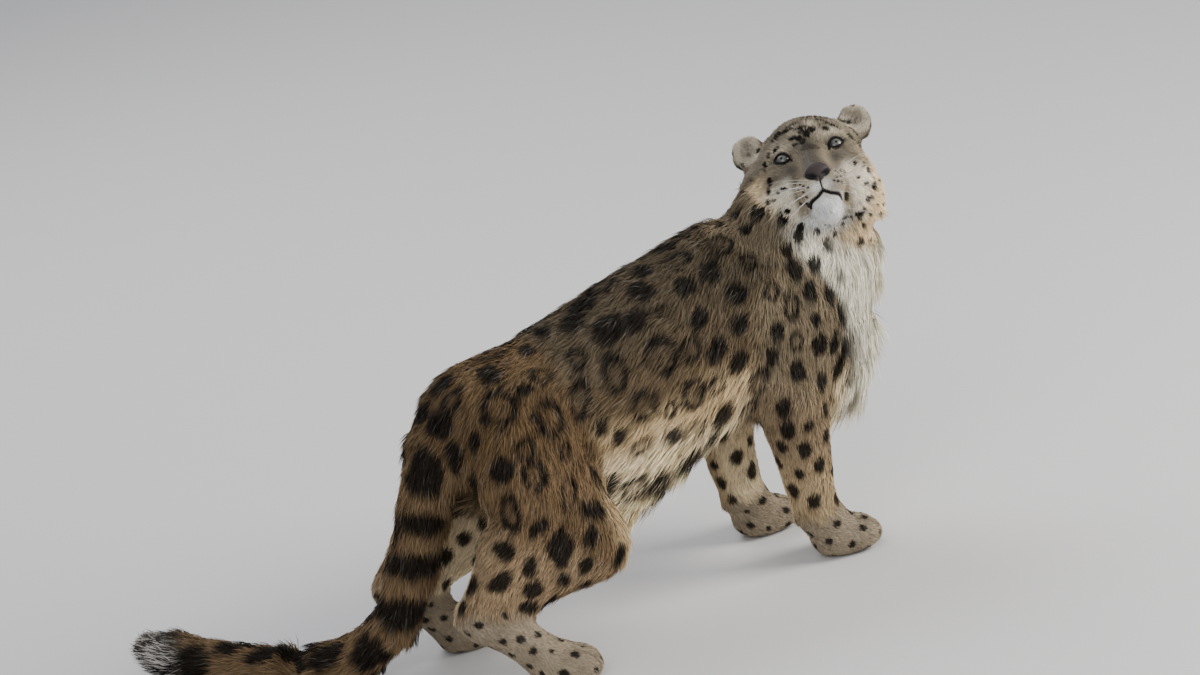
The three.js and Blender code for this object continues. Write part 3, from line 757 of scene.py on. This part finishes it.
def castMark(x, y, wide, high, lean, ring):
    start, way = pixelRay(x, y)
    hit, normal, _, distance = skinTree.ray_cast(start, way)
    if hit is None:
        return None
    scale = distance / focalPixels
    normal = np.array(normal)
    turn = math.radians(lean)
    rightWay = camRight * math.cos(turn) + camUp * math.sin(turn)
    facing = max(marking["leastFacing"], float(normal @ camBack))
    across = unit(rightWay - normal * (rightWay @ normal))
    along = unit(np.cross(normal, across))
    return (np.array(hit), across, along, wide * scale / facing, high * scale, ring)


def mirroredMark(mark):
    place, across, along, wide, high, ring = mark
    flip = np.array([1, -1, 1])
    middle = np.array([0, shift[1], 0])
    place = (place - middle) * flip + middle + rng.normal(0, marking["twinShift"], 3)
    wide, high = (size * rng.uniform(*marking["twinSize"]) for size in (wide, high))
    return place, across * flip, along * flip, wide, high, ring


# For each kind of part: how far apart marks lie, their half size, and the share that are rings
scatter = {
    "head": (0.0155, 0.0034, 0), "ear": (0.03, 0.004, 0), "neck": (0.032, 0.0095, 0.05),
    "chest": (0.045, 0.0165, 0.5), "loin": (0.046, 0.0180, 0.7), "rump": (0.041, 0.0160, 0.4),
    "foreleg_upper": (0.038, 0.0130, 0.25), "foreleg_lower": (0.034, 0.0095, 0),
    "forepaw": (0.026, 0.0055, 0), "hindleg_thigh": (0.042, 0.013, 0.2), "hindleg_shank": (0.038, 0.0115, 0),
    "hindpaw": (0.026, 0.0055, 0), "tail": (0.060, 0.0200, 0),
}
# Room is kept around a seen mark, twice along a long one. Cells make near marks quick to find.
room = {
    "share": 1.35, "gap": 0.008, "long": 1.5, "endShare": 0.6, "endGap": 0.012, "cell": 0.06, "tries": 26000,
}
vary = {"spacing": (0.85, 1.1), "size": (0.75, 1.2), "stretch": (1.0, 1.5)}


def scatterMarks(marks, places, normals, kinds, flow):
    cells = {}
    made = []

    def cellOf(place):
        return tuple(int(c // room["cell"]) for c in place)

    def crowded(place, reach):
        around = [(n - 1, n, n + 1) for n in cellOf(place)]
        near = (mark for cell in itertools.product(*around) for mark in cells.get(cell, ()))
        return any(np.linalg.norm(other - place) < max(reach, size) for other, size in near)

    def keep(place, reach):
        cells.setdefault(cellOf(place), []).append((place, reach))

    for place, _, along, wide, high, _ in marks:
        keep(place, max(wide, high) * room["share"] + room["gap"])
        if high > room["long"] * wide:
            for end in (1, -1):
                keep(place + along * high * room["endShare"] * end, wide + room["endGap"])
    for i in rng.permutation(len(places))[:room["tries"]]:
        spacing, size, rings = scatter[coatKinds[kinds[i]]]
        spacing *= rng.uniform(*vary["spacing"])
        if crowded(places[i], spacing):
            continue
        keep(places[i], spacing)
        size *= rng.uniform(*vary["size"])
        stretch = rng.uniform(*vary["stretch"])
        across = np.cross(normals[i], flow[i])
        made.append((places[i], across, flow[i], size, size * stretch, float(rng.random() < rings)))
    return made


# A mark's edge, in shares of its half size, is broken by two noises. A ring is hollow and has gaps.
markEdge = {
    "wobble": (0.22, 0.011, 3), "grain": (0.10, 0.004, 5), "fade": (1.25, 0.95), "reach": 1.5,
    "hollow": (0.72, 0.45), "hollowPale": 0.78, "gap": (0.15, 0.55), "gapNoise": (0.022, 11), "gapPale": 0.55,
}


def markShade(points, marks, strength):
    shade = np.zeros(len(points))
    wobble, grain = (depth * noise(points, *rest) for depth, *rest in (markEdge["wobble"], markEdge["grain"]))
    order = np.argsort(points[:, 0])
    sortedX = points[order, 0]
    for (place, across, along, wide, high, ring), power in zip(marks, strength):
        reach = max(wide, high) * markEdge["reach"]
        a, b = np.searchsorted(sortedX, (place[0] - reach, place[0] + reach))
        ids = order[a:b]
        ids = ids[np.abs(points[ids] - place).max(axis=1) < reach]
        if not len(ids):
            continue
        offset = points[ids] - place
        out = np.sqrt((offset @ across / wide) ** 2 + (offset @ along / high) ** 2)
        out = out * (1 + wobble[ids]) + grain[ids]
        solid = smoothStep(*markEdge["fade"], out)
        if ring:
            hollow = smoothStep(*markEdge["hollow"], out)
            gap = smoothStep(*markEdge["gap"], noise(points[ids], *markEdge["gapNoise"]))
            solid = solid * (1 - markEdge["hollowPale"] * hollow) * (1 - markEdge["gapPale"] * gap)
        shade[ids] = np.maximum(shade[ids], solid * power)
    return shade


relaxedShare = relaxed(np.eye(len(coatKinds))[kinds], edges, coatLook["shareBlend"])
skinTree = BVHTree.FromPolygons([tuple(p) for p in places], [tuple(p.vertices) for p in mesh.polygons])
marks = [m for m in (castMark(*seen) for seen in seenMarks) if m]
marks += [mirroredMark(m) for m in marks]
marks += [m for m in (castMark(*seen) for seen in tailSeen) if m]
headMarks, headPower = [], []
for x, y, wide, high, lean, power in faceSeen:
    grown = marking["browGrown"] if y < marking["browLine"] else marking["faceGrown"]
    mark = castMark(x, y, wide * grown + marking["facePad"], high * grown + marking["facePad"], lean, 0)
    if mark:
        headMarks.append(mark)
        headPower.append(power)
fillers = scatterMarks(marks, places, normals, kinds, flow)
print("marks", len(marks), "and", len(fillers))


# Skin's own unwrap, which also places each tuft on the map named OFBake
bpy.ops.object.select_all(action="DESELECT")
skin.select_set(True)
bpy.context.view_layer.objects.active = skin
bpy.ops.object.mode_set(mode="EDIT")
bpy.ops.mesh.select_all(action="SELECT")
bpy.ops.mesh.quads_convert_to_tris()
bpy.ops.uv.smart_project(angle_limit=math.radians(66), island_margin=0.001)
bpy.ops.object.mode_set(mode="OBJECT")
mesh.uv_layers[0].name = "OFBake"
triangles = np.empty(len(mesh.polygons) * 3, dtype=np.int64)
mesh.polygons.foreach_get("vertices", triangles)
triangles = triangles.reshape(-1, 3)
triangleUv = np.empty(len(mesh.loops) * 2)
mesh.uv_layers["OFBake"].data.foreach_get("uv", triangleUv)
triangleUv = triangleUv.reshape(-1, 3, 2)
print("skin unwrapped", len(triangles), "triangles")

# Where no fur grows: lids' edges, nose and lips
bareSkin = {
    "nose": 0.0003, "lips": 0.0026, "groove": 0.0016, "lid": 0.0026, "lidNear": 0.022, "lidWide": 0.0150,
    "eye": 0.0004,
}


def bareness(points):
    outline, frontal = faceOutline(points)
    bare = noseInside(outline) > -bareSkin["nose"]
    for feature in ("lips", "groove"):
        bare = bare | (strokeDistance(outline, mouth[feature]) < bareSkin[feature])
    bare = bare & frontal
    for side in ("left", "right"):
        forward, out, up = eyeFrame(side)
        offset = points - eyeCentres[side]
        distance = np.linalg.norm(offset, axis=1)
        a, u = offset @ out, offset @ up
        onLid = (offset @ forward > 0) & (distance < bareSkin["lidNear"]) & (np.abs(a) < bareSkin["lidWide"])
        bare = bare | (onLid & (lidEdge(a, u) > -bareSkin["lid"]))
        bare = bare | (distance < skull["eyeRadius"] + bareSkin["eye"])
    return bare


# Black round each eye, with a short streak from each of its corners
rimTint = {
    "near": 0.045, "fade": (0.0046, 0.0022), "squash": 1.25, "reach": 0.018,
    "tear": [(-0.010, -0.001), (-0.015, -0.004), (-0.017, -0.007)], "tearFade": (0.0034, 0.0012),
    "corner": [(0.011, 0.000), (0.018, 0.001), (0.026, -0.002)], "cornerFade": (0.0030, 0.0010),
    "cornerPower": 0.8,
}


def darkRims(points):
    rims = np.zeros(len(points))
    for side in ("left", "right"):
        forward, out, up = eyeFrame(side)
        offset = points - eyeCentres[side]
        a, u = offset @ out, offset @ up
        ahead = (offset @ forward > 0) & (np.linalg.norm(offset, axis=1) < rimTint["near"])
        near = np.hypot(a / rimTint["squash"], u) < rimTint["reach"]
        rim = smoothStep(*rimTint["fade"], -lidEdge(a, u)) * near
        tear, corner = (strokeDistance(np.stack([a, u], 1), rimTint[name]) for name in ("tear", "corner"))
        rim = np.maximum(rim, smoothStep(*rimTint["tearFade"], tear))
        rim = np.maximum(rim, rimTint["cornerPower"] * smoothStep(*rimTint["cornerFade"], corner))
        rims = np.maximum(rims, rim * ahead)
    return rims


# Last layers of colour: the ground's mottling, how far the scattered marks fade on the chest, and
# how lips, nose and nostrils end; the nostrils and the creases between the toes get painted shade
finish = {
    "mottle": [(0.14, 0.030, 31), (0.10, 0.009, 33)], "markPower": 0.96, "chestPale": 0.8, "toePower": 0.8,
    "lips": (0.0038, 0.0018), "groove": (0.0022, 0.0010), "nose": (-0.0012, 0.0006), "nostril": (3.2, -0.4),
}
bodyMarks = marks + fillers
markPower = [finish["markPower"]] * len(bodyMarks)


def tintAt(points, normals, share):
    part = partShares(share)
    mottle = sum(depth * noise(points, *rest) for depth, *rest in finish["mottle"])
    colour = groundTint(points, normals, part) * (1 + mottle)[:, None]
    onHead = part["head"] + part["ear"]
    outline, frontal = faceOutline(points)
    face = fade("faceFront", inHead(points)[:, 0]) * (onHead > 0.5)
    chest = fade("chestMarks", (points - shift)[:, 0]) * (onHead < 0.5)
    shade = markShade(points, bodyMarks, markPower) * (1 - face) * (1 - finish["chestPale"] * chest)
    shade = np.maximum(shade, markShade(points, headMarks, headPower))
    lines = [smoothStep(*finish[name], strokeDistance(outline, mouth[name])) for name in ("lips", "groove")]
    gain, less = finish["nostril"]
    for tint, amount in [
        (tints["mark"], shade),
        (tints["eyeRim"], darkRims(points)),
        # painted shade in the creases between the toes
        (tints["toe"], toeCrease(points) * finish["toePower"]),
        (tints["lips"], np.maximum(*lines) * frontal),
        (tints["nose"], frontal * smoothStep(*finish["nose"], noseInside(outline))),
        # painted shade: the nostril openings are darkened with the lips' near-black tint
        (tints["lips"], frontal * nostrilAt(outline) * gain + less),
    ]:
        colour = mixed(colour, tint, amount)
    return colour


def paint(mesh, colours):
    layer = mesh.color_attributes.new("tint", "FLOAT_COLOR", "POINT")
    full = np.ones((len(colours), 4), dtype=np.float32)
    full[:, :3] = np.clip(colours, 0, 1)
    layer.data.foreach_set("color", full.ravel())


furShadeOnSkin = 0.70  # painted shade: the skin under the coat is made darker, as if shaded by the fur
skinTint = tintAt(places, normals, relaxedShare)
paint(mesh, skinTint * np.where(bareness(places), 1.0, furShadeOnSkin)[:, None])
print("skin painted")

# Each material's roughness, specular level and clear coat
materialLook = {
    "skin": (0.55, 0.25, 0), "fur": (0.75, 0.12, 0), "eye": (0.25, 0.2, 0.6), "whisker": (0.4, 0.25, 0),
    "lidRim": (0.7, 0.15, 0), "floor": (0.9, 0.5, 0),
}


def makeMaterial(name, colour=None):
    made = bpy.data.materials.new(name)
    made.use_nodes = True
    tree = made.node_tree
    shader = tree.nodes["Principled BSDF"]
    for socket, value in zip(("Roughness", "Specular IOR Level", "Coat Weight"), materialLook[name]):
        shader.inputs[socket].default_value = value
    if colour is not None:
        shader.inputs["Base Color"].default_value = (*colour, 1)
        return made
    painted = tree.nodes.new("ShaderNodeVertexColor")
    painted.layer_name = "tint"
    tree.links.new(painted.outputs["Color"], shader.inputs["Base Color"])
    return made


skin.data.materials.append(makeMaterial("skin"))
furMaterial = makeMaterial("fur")
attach(skin, "root")
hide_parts(*fleshNodes)

# Tufts: thin tapered blades rooted in the skin and lying with the coat. Each has two points at its
# root, two at its middle and one at its tip, and its colour comes from the skin below it, with painted
# shade darkening each root and painted light brightening each tip.
tuft = {
    "clump": 0.42, "clumpSize": 0.020, "stray": 0.16, "roll": 0.55, "bury": 0.0015, "patch": 0.0015,
    "pieceLimit": 62000, "tintMiddle": 0.42, "tintTip": 0.80, "floor": 0.0012, "rootWidth": 0.8,
    "length": (0.65, 1.15), "waves": (0.25, 0.018, 41), "lift": (0.5, 1.35), "width": (0.7, 1.3),
    "middle": (0.50, 0.62), "tip": (0.97, 0.80), "droop": 0.06, "bright": (0.80, 1.20),
    "shades": (0.60, 0.60, 0.95, 0.95, 1.15), "spread": 0.0012, "headSpread": 0.0004,
}
# Longer and looser under the belly and down the chest: share of length, and of lift
loose = {"belly": (0.5, 0.35), "chest": (0.35, 0.18)}
# Pale hairs, few on the body and many at the tail's tip
pale = {
    "share": 0.07, "tipShare": 0.33, "tint": (1.0, 0.93, 0.84), "under": 0.7, "bright": 0.05,
    "tipBright": 0.45,
}
# Short round the muzzle, longer over the cheeks and below the chin
faceCoat = {
    "muzzle": (0.095, 0, -0.055), "short": 0.0035, "grow": 0.012, "growFade": (0.035, 0.13), "cheek": 0.007,
    "cheekAside": (0.062, 0.095), "cheekBelow": (0.02, -0.02), "chin": 0.006, "chinFade": (-0.092, -0.105),
    "fullWidth": 0.012, "widths": (0.65, 1.3),
}
corner = places[triangles]
cross = np.cross(corner[:, 1] - corner[:, 0], corner[:, 2] - corner[:, 0])
area = np.linalg.norm(cross, axis=1) / 2


def faceLength(points):
    h = inHead(points)
    fromMuzzle = np.linalg.norm(h - faceCoat["muzzle"], axis=1)
    grown = faceCoat["short"] + faceCoat["grow"] * smoothStep(*faceCoat["growFade"], fromMuzzle)
    cheek = smoothStep(*faceCoat["cheekAside"], np.abs(h[:, 1]))
    cheek = cheek * smoothStep(*faceCoat["cheekBelow"], h[:, 2])
    chin = smoothStep(*faceCoat["chinFade"], h[:, 2])
    return grown + faceCoat["cheek"] * cheek + faceCoat["chin"] * chin


def rootsOn(chosen):
    count = len(chosen)
    u, v = rng.random(count), rng.random(count)
    over = u + v > 1
    u[over], v[over] = 1 - u[over], 1 - v[over]
    weights = np.stack([1 - u - v, u, v], axis=1)[..., None]
    ids = triangles[chosen]
    at, outward, way, number, share = (
        (values[ids] * weights).sum(1) for values in (places, normals, flow, numbers, relaxedShare)
    )
    uv = (triangleUv[chosen] * weights).sum(1)
    kept = ~bareness(at)
    return [values[kept] for values in (at, unit(outward), unit(way), number, share, uv)]


def tuftMesh(name, points, colours, uv):
    count = len(points)
    made = bpy.data.meshes.new(name)
    made.vertices.add(count * 5)
    made.vertices.foreach_set("co", points.astype(np.float32).ravel())
    base = (np.arange(count) * 5)[:, None]
    faces = (base + np.array([[0, 1, 3, 0, 3, 2, 2, 3, 4]])).reshape(-1)
    made.loops.add(len(faces))
    made.loops.foreach_set("vertex_index", faces.astype(np.int32))
    made.polygons.add(count * 3)
    made.polygons.foreach_set("loop_start", np.arange(0, len(faces), 3, dtype=np.int32))
    made.polygons.foreach_set("use_smooth", np.ones(count * 3, dtype=bool))
    corners = np.array([[-1, -1], [1, -1], [-1, 0.2], [1, 0.2], [0, 1]]) * tuft["patch"]
    loopUv = np.clip(uv[:, None, :] + corners[None], 0, 1).reshape(-1, 2)[faces]
    layer = made.uv_layers.new(name="OFBake")
    layer.data.foreach_set("uv", loopUv.astype(np.float32).ravel())
    paint(made, colours.reshape(-1, 3))
    made.materials.append(furMaterial)
    made.update()
    return made


def growTufts(chosen, name):
    at, outward, way, number, share, uv = rootsOn(chosen)
    part = partShares(share)
    count = len(at)
    length, lift, width = (number[:, coatColumn[column]].copy() for column in ("length", "lift", "width"))
    onHead = part["head"] > 0.5
    length[onHead] = faceLength(at[onHead])
    x, y, _ = (at - shift).T
    belly = fade("longBelly", outward[:, 2]) * (part["chest"] + part["loin"] + part["rump"])
    chest = fade("longChest", x) * (part["neck"] + part["chest"])
    length = length * (1 + loose["belly"][0] * belly + loose["chest"][0] * chest)
    depth, *waves = tuft["waves"]
    length = length * rng.uniform(*tuft["length"], count) * (1 + depth * noise(at, *waves))
    lift = lift * rng.uniform(*tuft["lift"], count) + loose["belly"][1] * belly + loose["chest"][1] * chest
    drift = np.stack([noise(at, tuft["clumpSize"], 50 + k) for k in range(3)], axis=1)
    way = way + drift * tuft["clump"] + rng.normal(0, tuft["stray"], (count, 3))
    way = unit(way - outward * (way * outward).sum(1)[:, None])
    roll = rng.normal(0, tuft["roll"], count)[:, None]
    across = np.cross(outward, way) * np.cos(roll) + outward * np.sin(roll)
    width = width * rng.uniform(*tuft["width"], count)
    width[onHead] = width[onHead] * np.clip(length[onHead] / faceCoat["fullWidth"], *faceCoat["widths"])
    L, lifted = length[:, None], lift[:, None]
    root = at - outward * tuft["bury"]
    middle, tip = (
        root + way * L * tuft[place][0] + outward * (tuft["bury"] + L * lifted * tuft[place][1])
        for place in ("middle", "tip")
    )
    tip[:, 2] -= length * tuft["droop"]
    half = across * width[:, None] / 2
    tip[:, 2] = np.maximum(tip[:, 2], tuft["floor"])
    middle[:, 2] = np.maximum(middle[:, 2], tuft["floor"])
    rootHalf = half * tuft["rootWidth"]
    points = np.stack([root - rootHalf, root + rootHalf, middle - half, middle + half, tip], axis=1)
    spread = np.where(onHead, tuft["headSpread"], tuft["spread"])[:, None]
    spot = at + rng.normal(0, 1, (count, 3)) * spread
    bright = rng.uniform(*tuft["bright"], count)[:, None]
    frost = part["tail"] * fade("tailFrost", alongTail(x, y))
    isPale = (rng.random(count) < pale["share"] + pale["tipShare"] * frost)[:, None]
    frosted = (pale["bright"] + pale["tipBright"] * frost)[:, None] * np.array(pale["tint"])
    middleTint = tintAt(spot + way * L * tuft["tintMiddle"], outward, share)
    tipTint = tintAt(spot + way * L * tuft["tintTip"], outward, share)
    colours = np.stack([middleTint] * 4 + [tipTint], axis=1) * bright[..., None]
    colours = np.where(isPale[..., None], colours * pale["under"] + frosted[:, None], colours)
    # painted shade at each tuft's root and painted light at its tip
    colours = colours * np.array(tuft["shades"])[None, :, None]
    obj = bpy.data.objects.new(name, tuftMesh(name, points, colours, uv))
    bpy.context.collection.objects.link(obj)
    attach(obj, "root")
    return count


regions = {
    "headCoat": ("head", "ear"), "neckCoat": ("neck",), "chestCoat": ("chest",),
    "flankCoat": ("loin", "rump"), "foreCoat": ("foreleg_upper", "foreleg_lower", "forepaw"),
    "hindCoat": ("hindleg_thigh", "hindleg_shank", "hindpaw"), "tailCoat": ("tail",),
}
squareCentimetres = 10000
triangleKind = kinds[triangles[:, 0]]
density = numbers[triangles].mean(1)[:, coatColumn["density"]] * squareCentimetres
for name, members in regions.items():
    wanted = area * density * isKind(triangleKind, *members)
    total = int(wanted.sum() * (1.0))
    picks = rng.choice(len(triangles), total, p=wanted / wanted.sum())
    pieces = max(1, math.ceil(total / tuft["pieceLimit"]))
    grown = 0
    for k, chosen in enumerate(np.array_split(picks, pieces)):
        grown += growTufts(chosen, name + str(k + 1))
    print(name, grown, "tufts in", pieces)

# Eyes: glossy balls with a pale iris and a small round pupil, set behind the lids. Angles are
# measured from the eye's axis, in degrees.
eyeLook = {
    "radius": 0.0143, "iris": 34, "irisEdge": 4, "pupil": 8.5, "pupilEdge": (1.2, -0.8),
    "limbusEdge": (3.5, 1), "segments": 64, "rings": 96, "rays": 37, "raysBent": 11, "raysBend": 3,
    "rayTones": (0.86, 0.22),
}
tints.update({name: np.array(colour) for name, colour in {
    "eyeWhite": (0.030, 0.024, 0.020), "limbus": (0.010, 0.010, 0.009), "irisOuter": (0.062, 0.066, 0.058),
    "irisInner": (0.120, 0.122, 0.100), "pupil": (0.002, 0.002, 0.002),
}.items()})
eyeMaterial = makeMaterial("eye")
rimMaterial = makeMaterial("lidRim", tints["eyeRim"])


def makeEye(side):
    forward, out, up = eyeFrame(side)
    turned = Vector(forward).to_track_quat("Z", "Y").to_euler()
    bpy.ops.object.select_all(action="DESELECT")
    bpy.ops.mesh.primitive_uv_sphere_add(
        segments=eyeLook["segments"], ring_count=eyeLook["rings"], radius=eyeLook["radius"],
        location=tuple(eyeCentres[side]), rotation=turned,
    )
    made = bpy.context.active_object
    made.name = side + "Eyeball"
    bpy.ops.object.transform_apply(location=True, rotation=True, scale=True)
    bpy.ops.object.shade_smooth()
    offset = unit(placesOf(made.data) - eyeCentres[side])
    angle = np.degrees(np.arccos(np.clip(offset @ forward, -1, 1)))
    around = np.arctan2(offset @ up, offset @ out)
    bend = eyeLook["raysBend"] * np.sin(around * eyeLook["raysBent"])
    rays = 0.5 + 0.5 * np.sin(around * eyeLook["rays"] + bend)
    dull, shine = eyeLook["rayTones"]
    innerEdge = eyeLook["iris"] - eyeLook["irisEdge"]
    iris = layered(tints["irisInner"], [("irisOuter", smoothStep(eyeLook["pupil"], innerEdge, angle))])
    iris = iris * (dull + shine * rays)[:, None]
    limbus = smoothStep(*(eyeLook["iris"] + edge for edge in eyeLook["limbusEdge"]), angle)
    colour = layered(tints["eyeWhite"], [("limbus", limbus)])
    colour = mixed(colour, iris, smoothStep(eyeLook["iris"], innerEdge, angle))
    pupil = smoothStep(*(eyeLook["pupil"] + edge for edge in eyeLook["pupilEdge"]), angle)
    paint(made.data, mixed(colour, tints["pupil"], pupil))
    made.data.materials.append(eyeMaterial)
    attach(made, "root")
    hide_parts("eye_" + side)


def makeLidRim(side, steps=72, sides=8):
    forward, out, up = eyeFrame(side)
    turn = np.linspace(0, 2 * math.pi, steps, endpoint=False)
    across = lid["width"] * np.cos(turn)
    along = np.where(np.sin(turn) > 0, *lidHeights(np.abs(np.cos(turn))))
    ball = skull["eyeRadius"] + 0.5 * lid["over"]
    ahead = np.sqrt(ball**2 - across**2 - along**2)
    line = eyeCentres[side] + ahead[:, None] * forward + across[:, None] * out + along[:, None] * up
    run = unit(np.roll(line, -1, axis=0) - np.roll(line, 1, axis=0))
    away = unit(line - eyeCentres[side])
    wide = unit(np.cross(run, away))
    ring = np.linspace(0, 2 * math.pi, sides, endpoint=False)
    thick = lid["rim"] * (1 + lid["rimSwell"] * np.maximum(np.sin(turn), 0))
    points = line[:, None] + thick[:, None, None] * (
        np.cos(ring)[None, :, None] * away[:, None] + np.sin(ring)[None, :, None] * wide[:, None]
    )
    faces = []
    for i in range(steps):
        for k in range(sides):
            a, b = i * sides + k, i * sides + (k + 1) % sides
            c, d = (i + 1) % steps * sides + k, (i + 1) % steps * sides + (k + 1) % sides
            faces.append((a, c, d, b))
    made = bpy.data.meshes.new(side + "LidRim")
    made.from_pydata([tuple(p) for p in points.reshape(-1, 3)], [], faces)
    made.polygons.foreach_set("use_smooth", np.ones(len(faces), dtype=bool))
    made.materials.append(rimMaterial)
    obj = bpy.data.objects.new(side + "LidRim", made)
    bpy.context.collection.objects.link(obj)
    bpy.ops.object.select_all(action="DESELECT")
    obj.select_set(True)
    bpy.context.view_layer.objects.active = obj
    bpy.ops.object.mode_set(mode="EDIT")
    bpy.ops.mesh.select_all(action="SELECT")
    bpy.ops.mesh.normals_make_consistent(inside=False)
    bpy.ops.object.mode_set(mode="OBJECT")
    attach(obj, "root")


for side in ("left", "right"):
    makeEye(side)
    makeLidRim(side)
print("eyes made")

# Whiskers: stiff tapered hairs from the muzzle's pads, and a few above each eye. Their starts and
# the ways they point are in the head's own axes, and each row and hair adds its own step.
whisker = {
    "root": 0.00034, "sections": 7, "sides": 4, "length": (0.062, 0.100), "droop": 0.20, "sweep": 0.55,
    "bend": 0.6, "taper": 0.85, "bury": 0.002, "spread": 0.07, "from": 0.20, "tint": (1.0, 0.97, 0.90),
    "tones": (0.45, 0.75),
}
whiskerRows = {
    "muzzle": {
        "rows": 4, "hairs": 4, "start": (0.018, -0.0600), "perRow": (0, -0.0075),
        "perHair": (0.0055, -0.0012), "way": (0.45, 0.75, 0.20), "wayPerRow": (0, 0, -0.22),
        "wayPerHair": (-0.12, 0.1, 0), "length": 1, "thick": 1, "tone": 1,
    },
    "brow": {
        "rows": 1, "hairs": 3, "start": (0.030, 0.030), "perRow": (0, 0),
        "perHair": (0.007, -0.001), "way": (0.55, 0.25, 0.9), "wayPerRow": (0, 0, 0),
        "wayPerHair": (0, 0.18, 0), "length": 0.6, "thick": 0.7, "tone": 0.5,
    },
}


def makeWhiskers():
    points, faces, tones = [], [], []
    steps, sides = whisker["sections"], whisker["sides"]
    hairs = [
        (s, row, k, whiskerRows[kind])
        for s in (1, -1) for kind in whiskerRows
        for row in range(whiskerRows[kind]["rows"]) for k in range(whiskerRows[kind]["hairs"])
    ]
    for s, row, k, look in hairs:
        across, up = np.array(look["start"]) + row * np.array(look["perRow"]) + k * np.array(look["perHair"])
        start = fromHead([whisker["from"], across * s, up])
        hit, normal, _, _ = skinTree.ray_cast(Vector(start), Vector(-headAxes[:, 0]))
        if hit is None:
            continue
        hit, normal = np.array(hit), np.array(normal)
        length = rng.uniform(*whisker["length"]) * look["length"]
        way = np.array(look["way"]) + row * np.array(look["wayPerRow"]) + k * np.array(look["wayPerHair"])
        way = unit(headAxes @ (way * [1, s, 1]) + rng.normal(0, whisker["spread"], 3))
        side = unit(np.cross(way, normal))
        other = unit(np.cross(side, way))
        base = len(points)
        for n in range(steps):
            t = n / (steps - 1)
            bend = (-headAxes[:, 0] * whisker["sweep"] + np.array([0, 0, -1]) * whisker["droop"]) * t * t
            centre = hit - way * whisker["bury"] + (way * t + bend * whisker["bend"]) * length
            thick = whisker["root"] * (1 - whisker["taper"] * t) * look["thick"]
            for m in range(sides):
                turn = 2 * math.pi * m / sides
                points.append(centre + (side * math.cos(turn) + other * math.sin(turn)) * thick)
                tones.append(whisker["tones"][k % 3 > 0] * look["tone"])
        for n in range(steps - 1):
            for m in range(sides):
                a, b = base + n * sides + m, base + n * sides + (m + 1) % sides
                faces.append((a, b, b + sides, a + sides))
        last = base + (steps - 1) * sides
        faces.append(tuple(last + m for m in range(sides)))
        faces.append(tuple(base + m for m in reversed(range(sides))))
    made = bpy.data.meshes.new("whiskers")
    made.from_pydata([tuple(p) for p in points], [], faces)
    made.uv_layers.new(name="OFBake")
    paint(made, np.array(tones)[:, None] * whisker["tint"])
    made.materials.append(makeMaterial("whisker"))
    obj = bpy.data.objects.new("whiskers", made)
    bpy.context.collection.objects.link(obj)
    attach(obj, "root")


makeWhiskers()
print("whiskers made")

# Floor, light and camera
studio = {
    "floorSize": 60, "floorTint": (0.66, 0.65, 0.64), "sky": (0.84, 0.88, 0.95, 1), "skyStrength": 0.50,
    "aim": (0.05, -0.05, 0.35),
}
# Each soft light's place, size, power and colour
softLights = [
    ((3.4, -2.6, 2.6), 2.2, 260, (1.0, 0.965, 0.91)), ((-2.6, -2.8, 3.0), 3.0, 90, (0.95, 0.97, 1.0)),
    ((0.2, 3.0, 3.6), 3.0, 110, (0.97, 0.98, 1.0)),
]
bpy.ops.object.select_all(action="DESELECT")
bpy.ops.mesh.primitive_plane_add(size=studio["floorSize"], location=(0, 0, 0))
floor = bpy.context.active_object
floor.name = "floor"
floor.data.materials.append(makeMaterial("floor", studio["floorTint"]))

world = bpy.data.worlds.new("sky")
bpy.context.scene.world = world
world.use_nodes = True
world.node_tree.nodes["Background"].inputs["Color"].default_value = studio["sky"]
world.node_tree.nodes["Background"].inputs["Strength"].default_value = studio["skyStrength"]

for place, size, power, colour in softLights:
    bpy.ops.object.light_add(type="AREA", location=place)
    lamp = bpy.context.active_object
    lamp.data.size = size
    lamp.data.energy = power
    lamp.data.color = colour
    aim = Vector(studio["aim"]) - Vector(place)
    lamp.rotation_euler = aim.to_track_quat("-Z", "Y").to_euler()

bpy.ops.object.camera_add(location=tuple(cameraPlace))
viewer = bpy.context.active_object
cameraTurn = Matrix(np.stack([camRight, camUp, camBack], 1)).to_4x4()
viewer.matrix_world = Matrix.Translation(cameraPlace) @ cameraTurn
viewer.data.sensor_width = camera["sensor"]
viewer.data.lens = focalPixels / imageWide * camera["sensor"]
viewer.data.clip_end = camera["farthest"]
bpy.context.scene.camera = viewer
print("stage set")
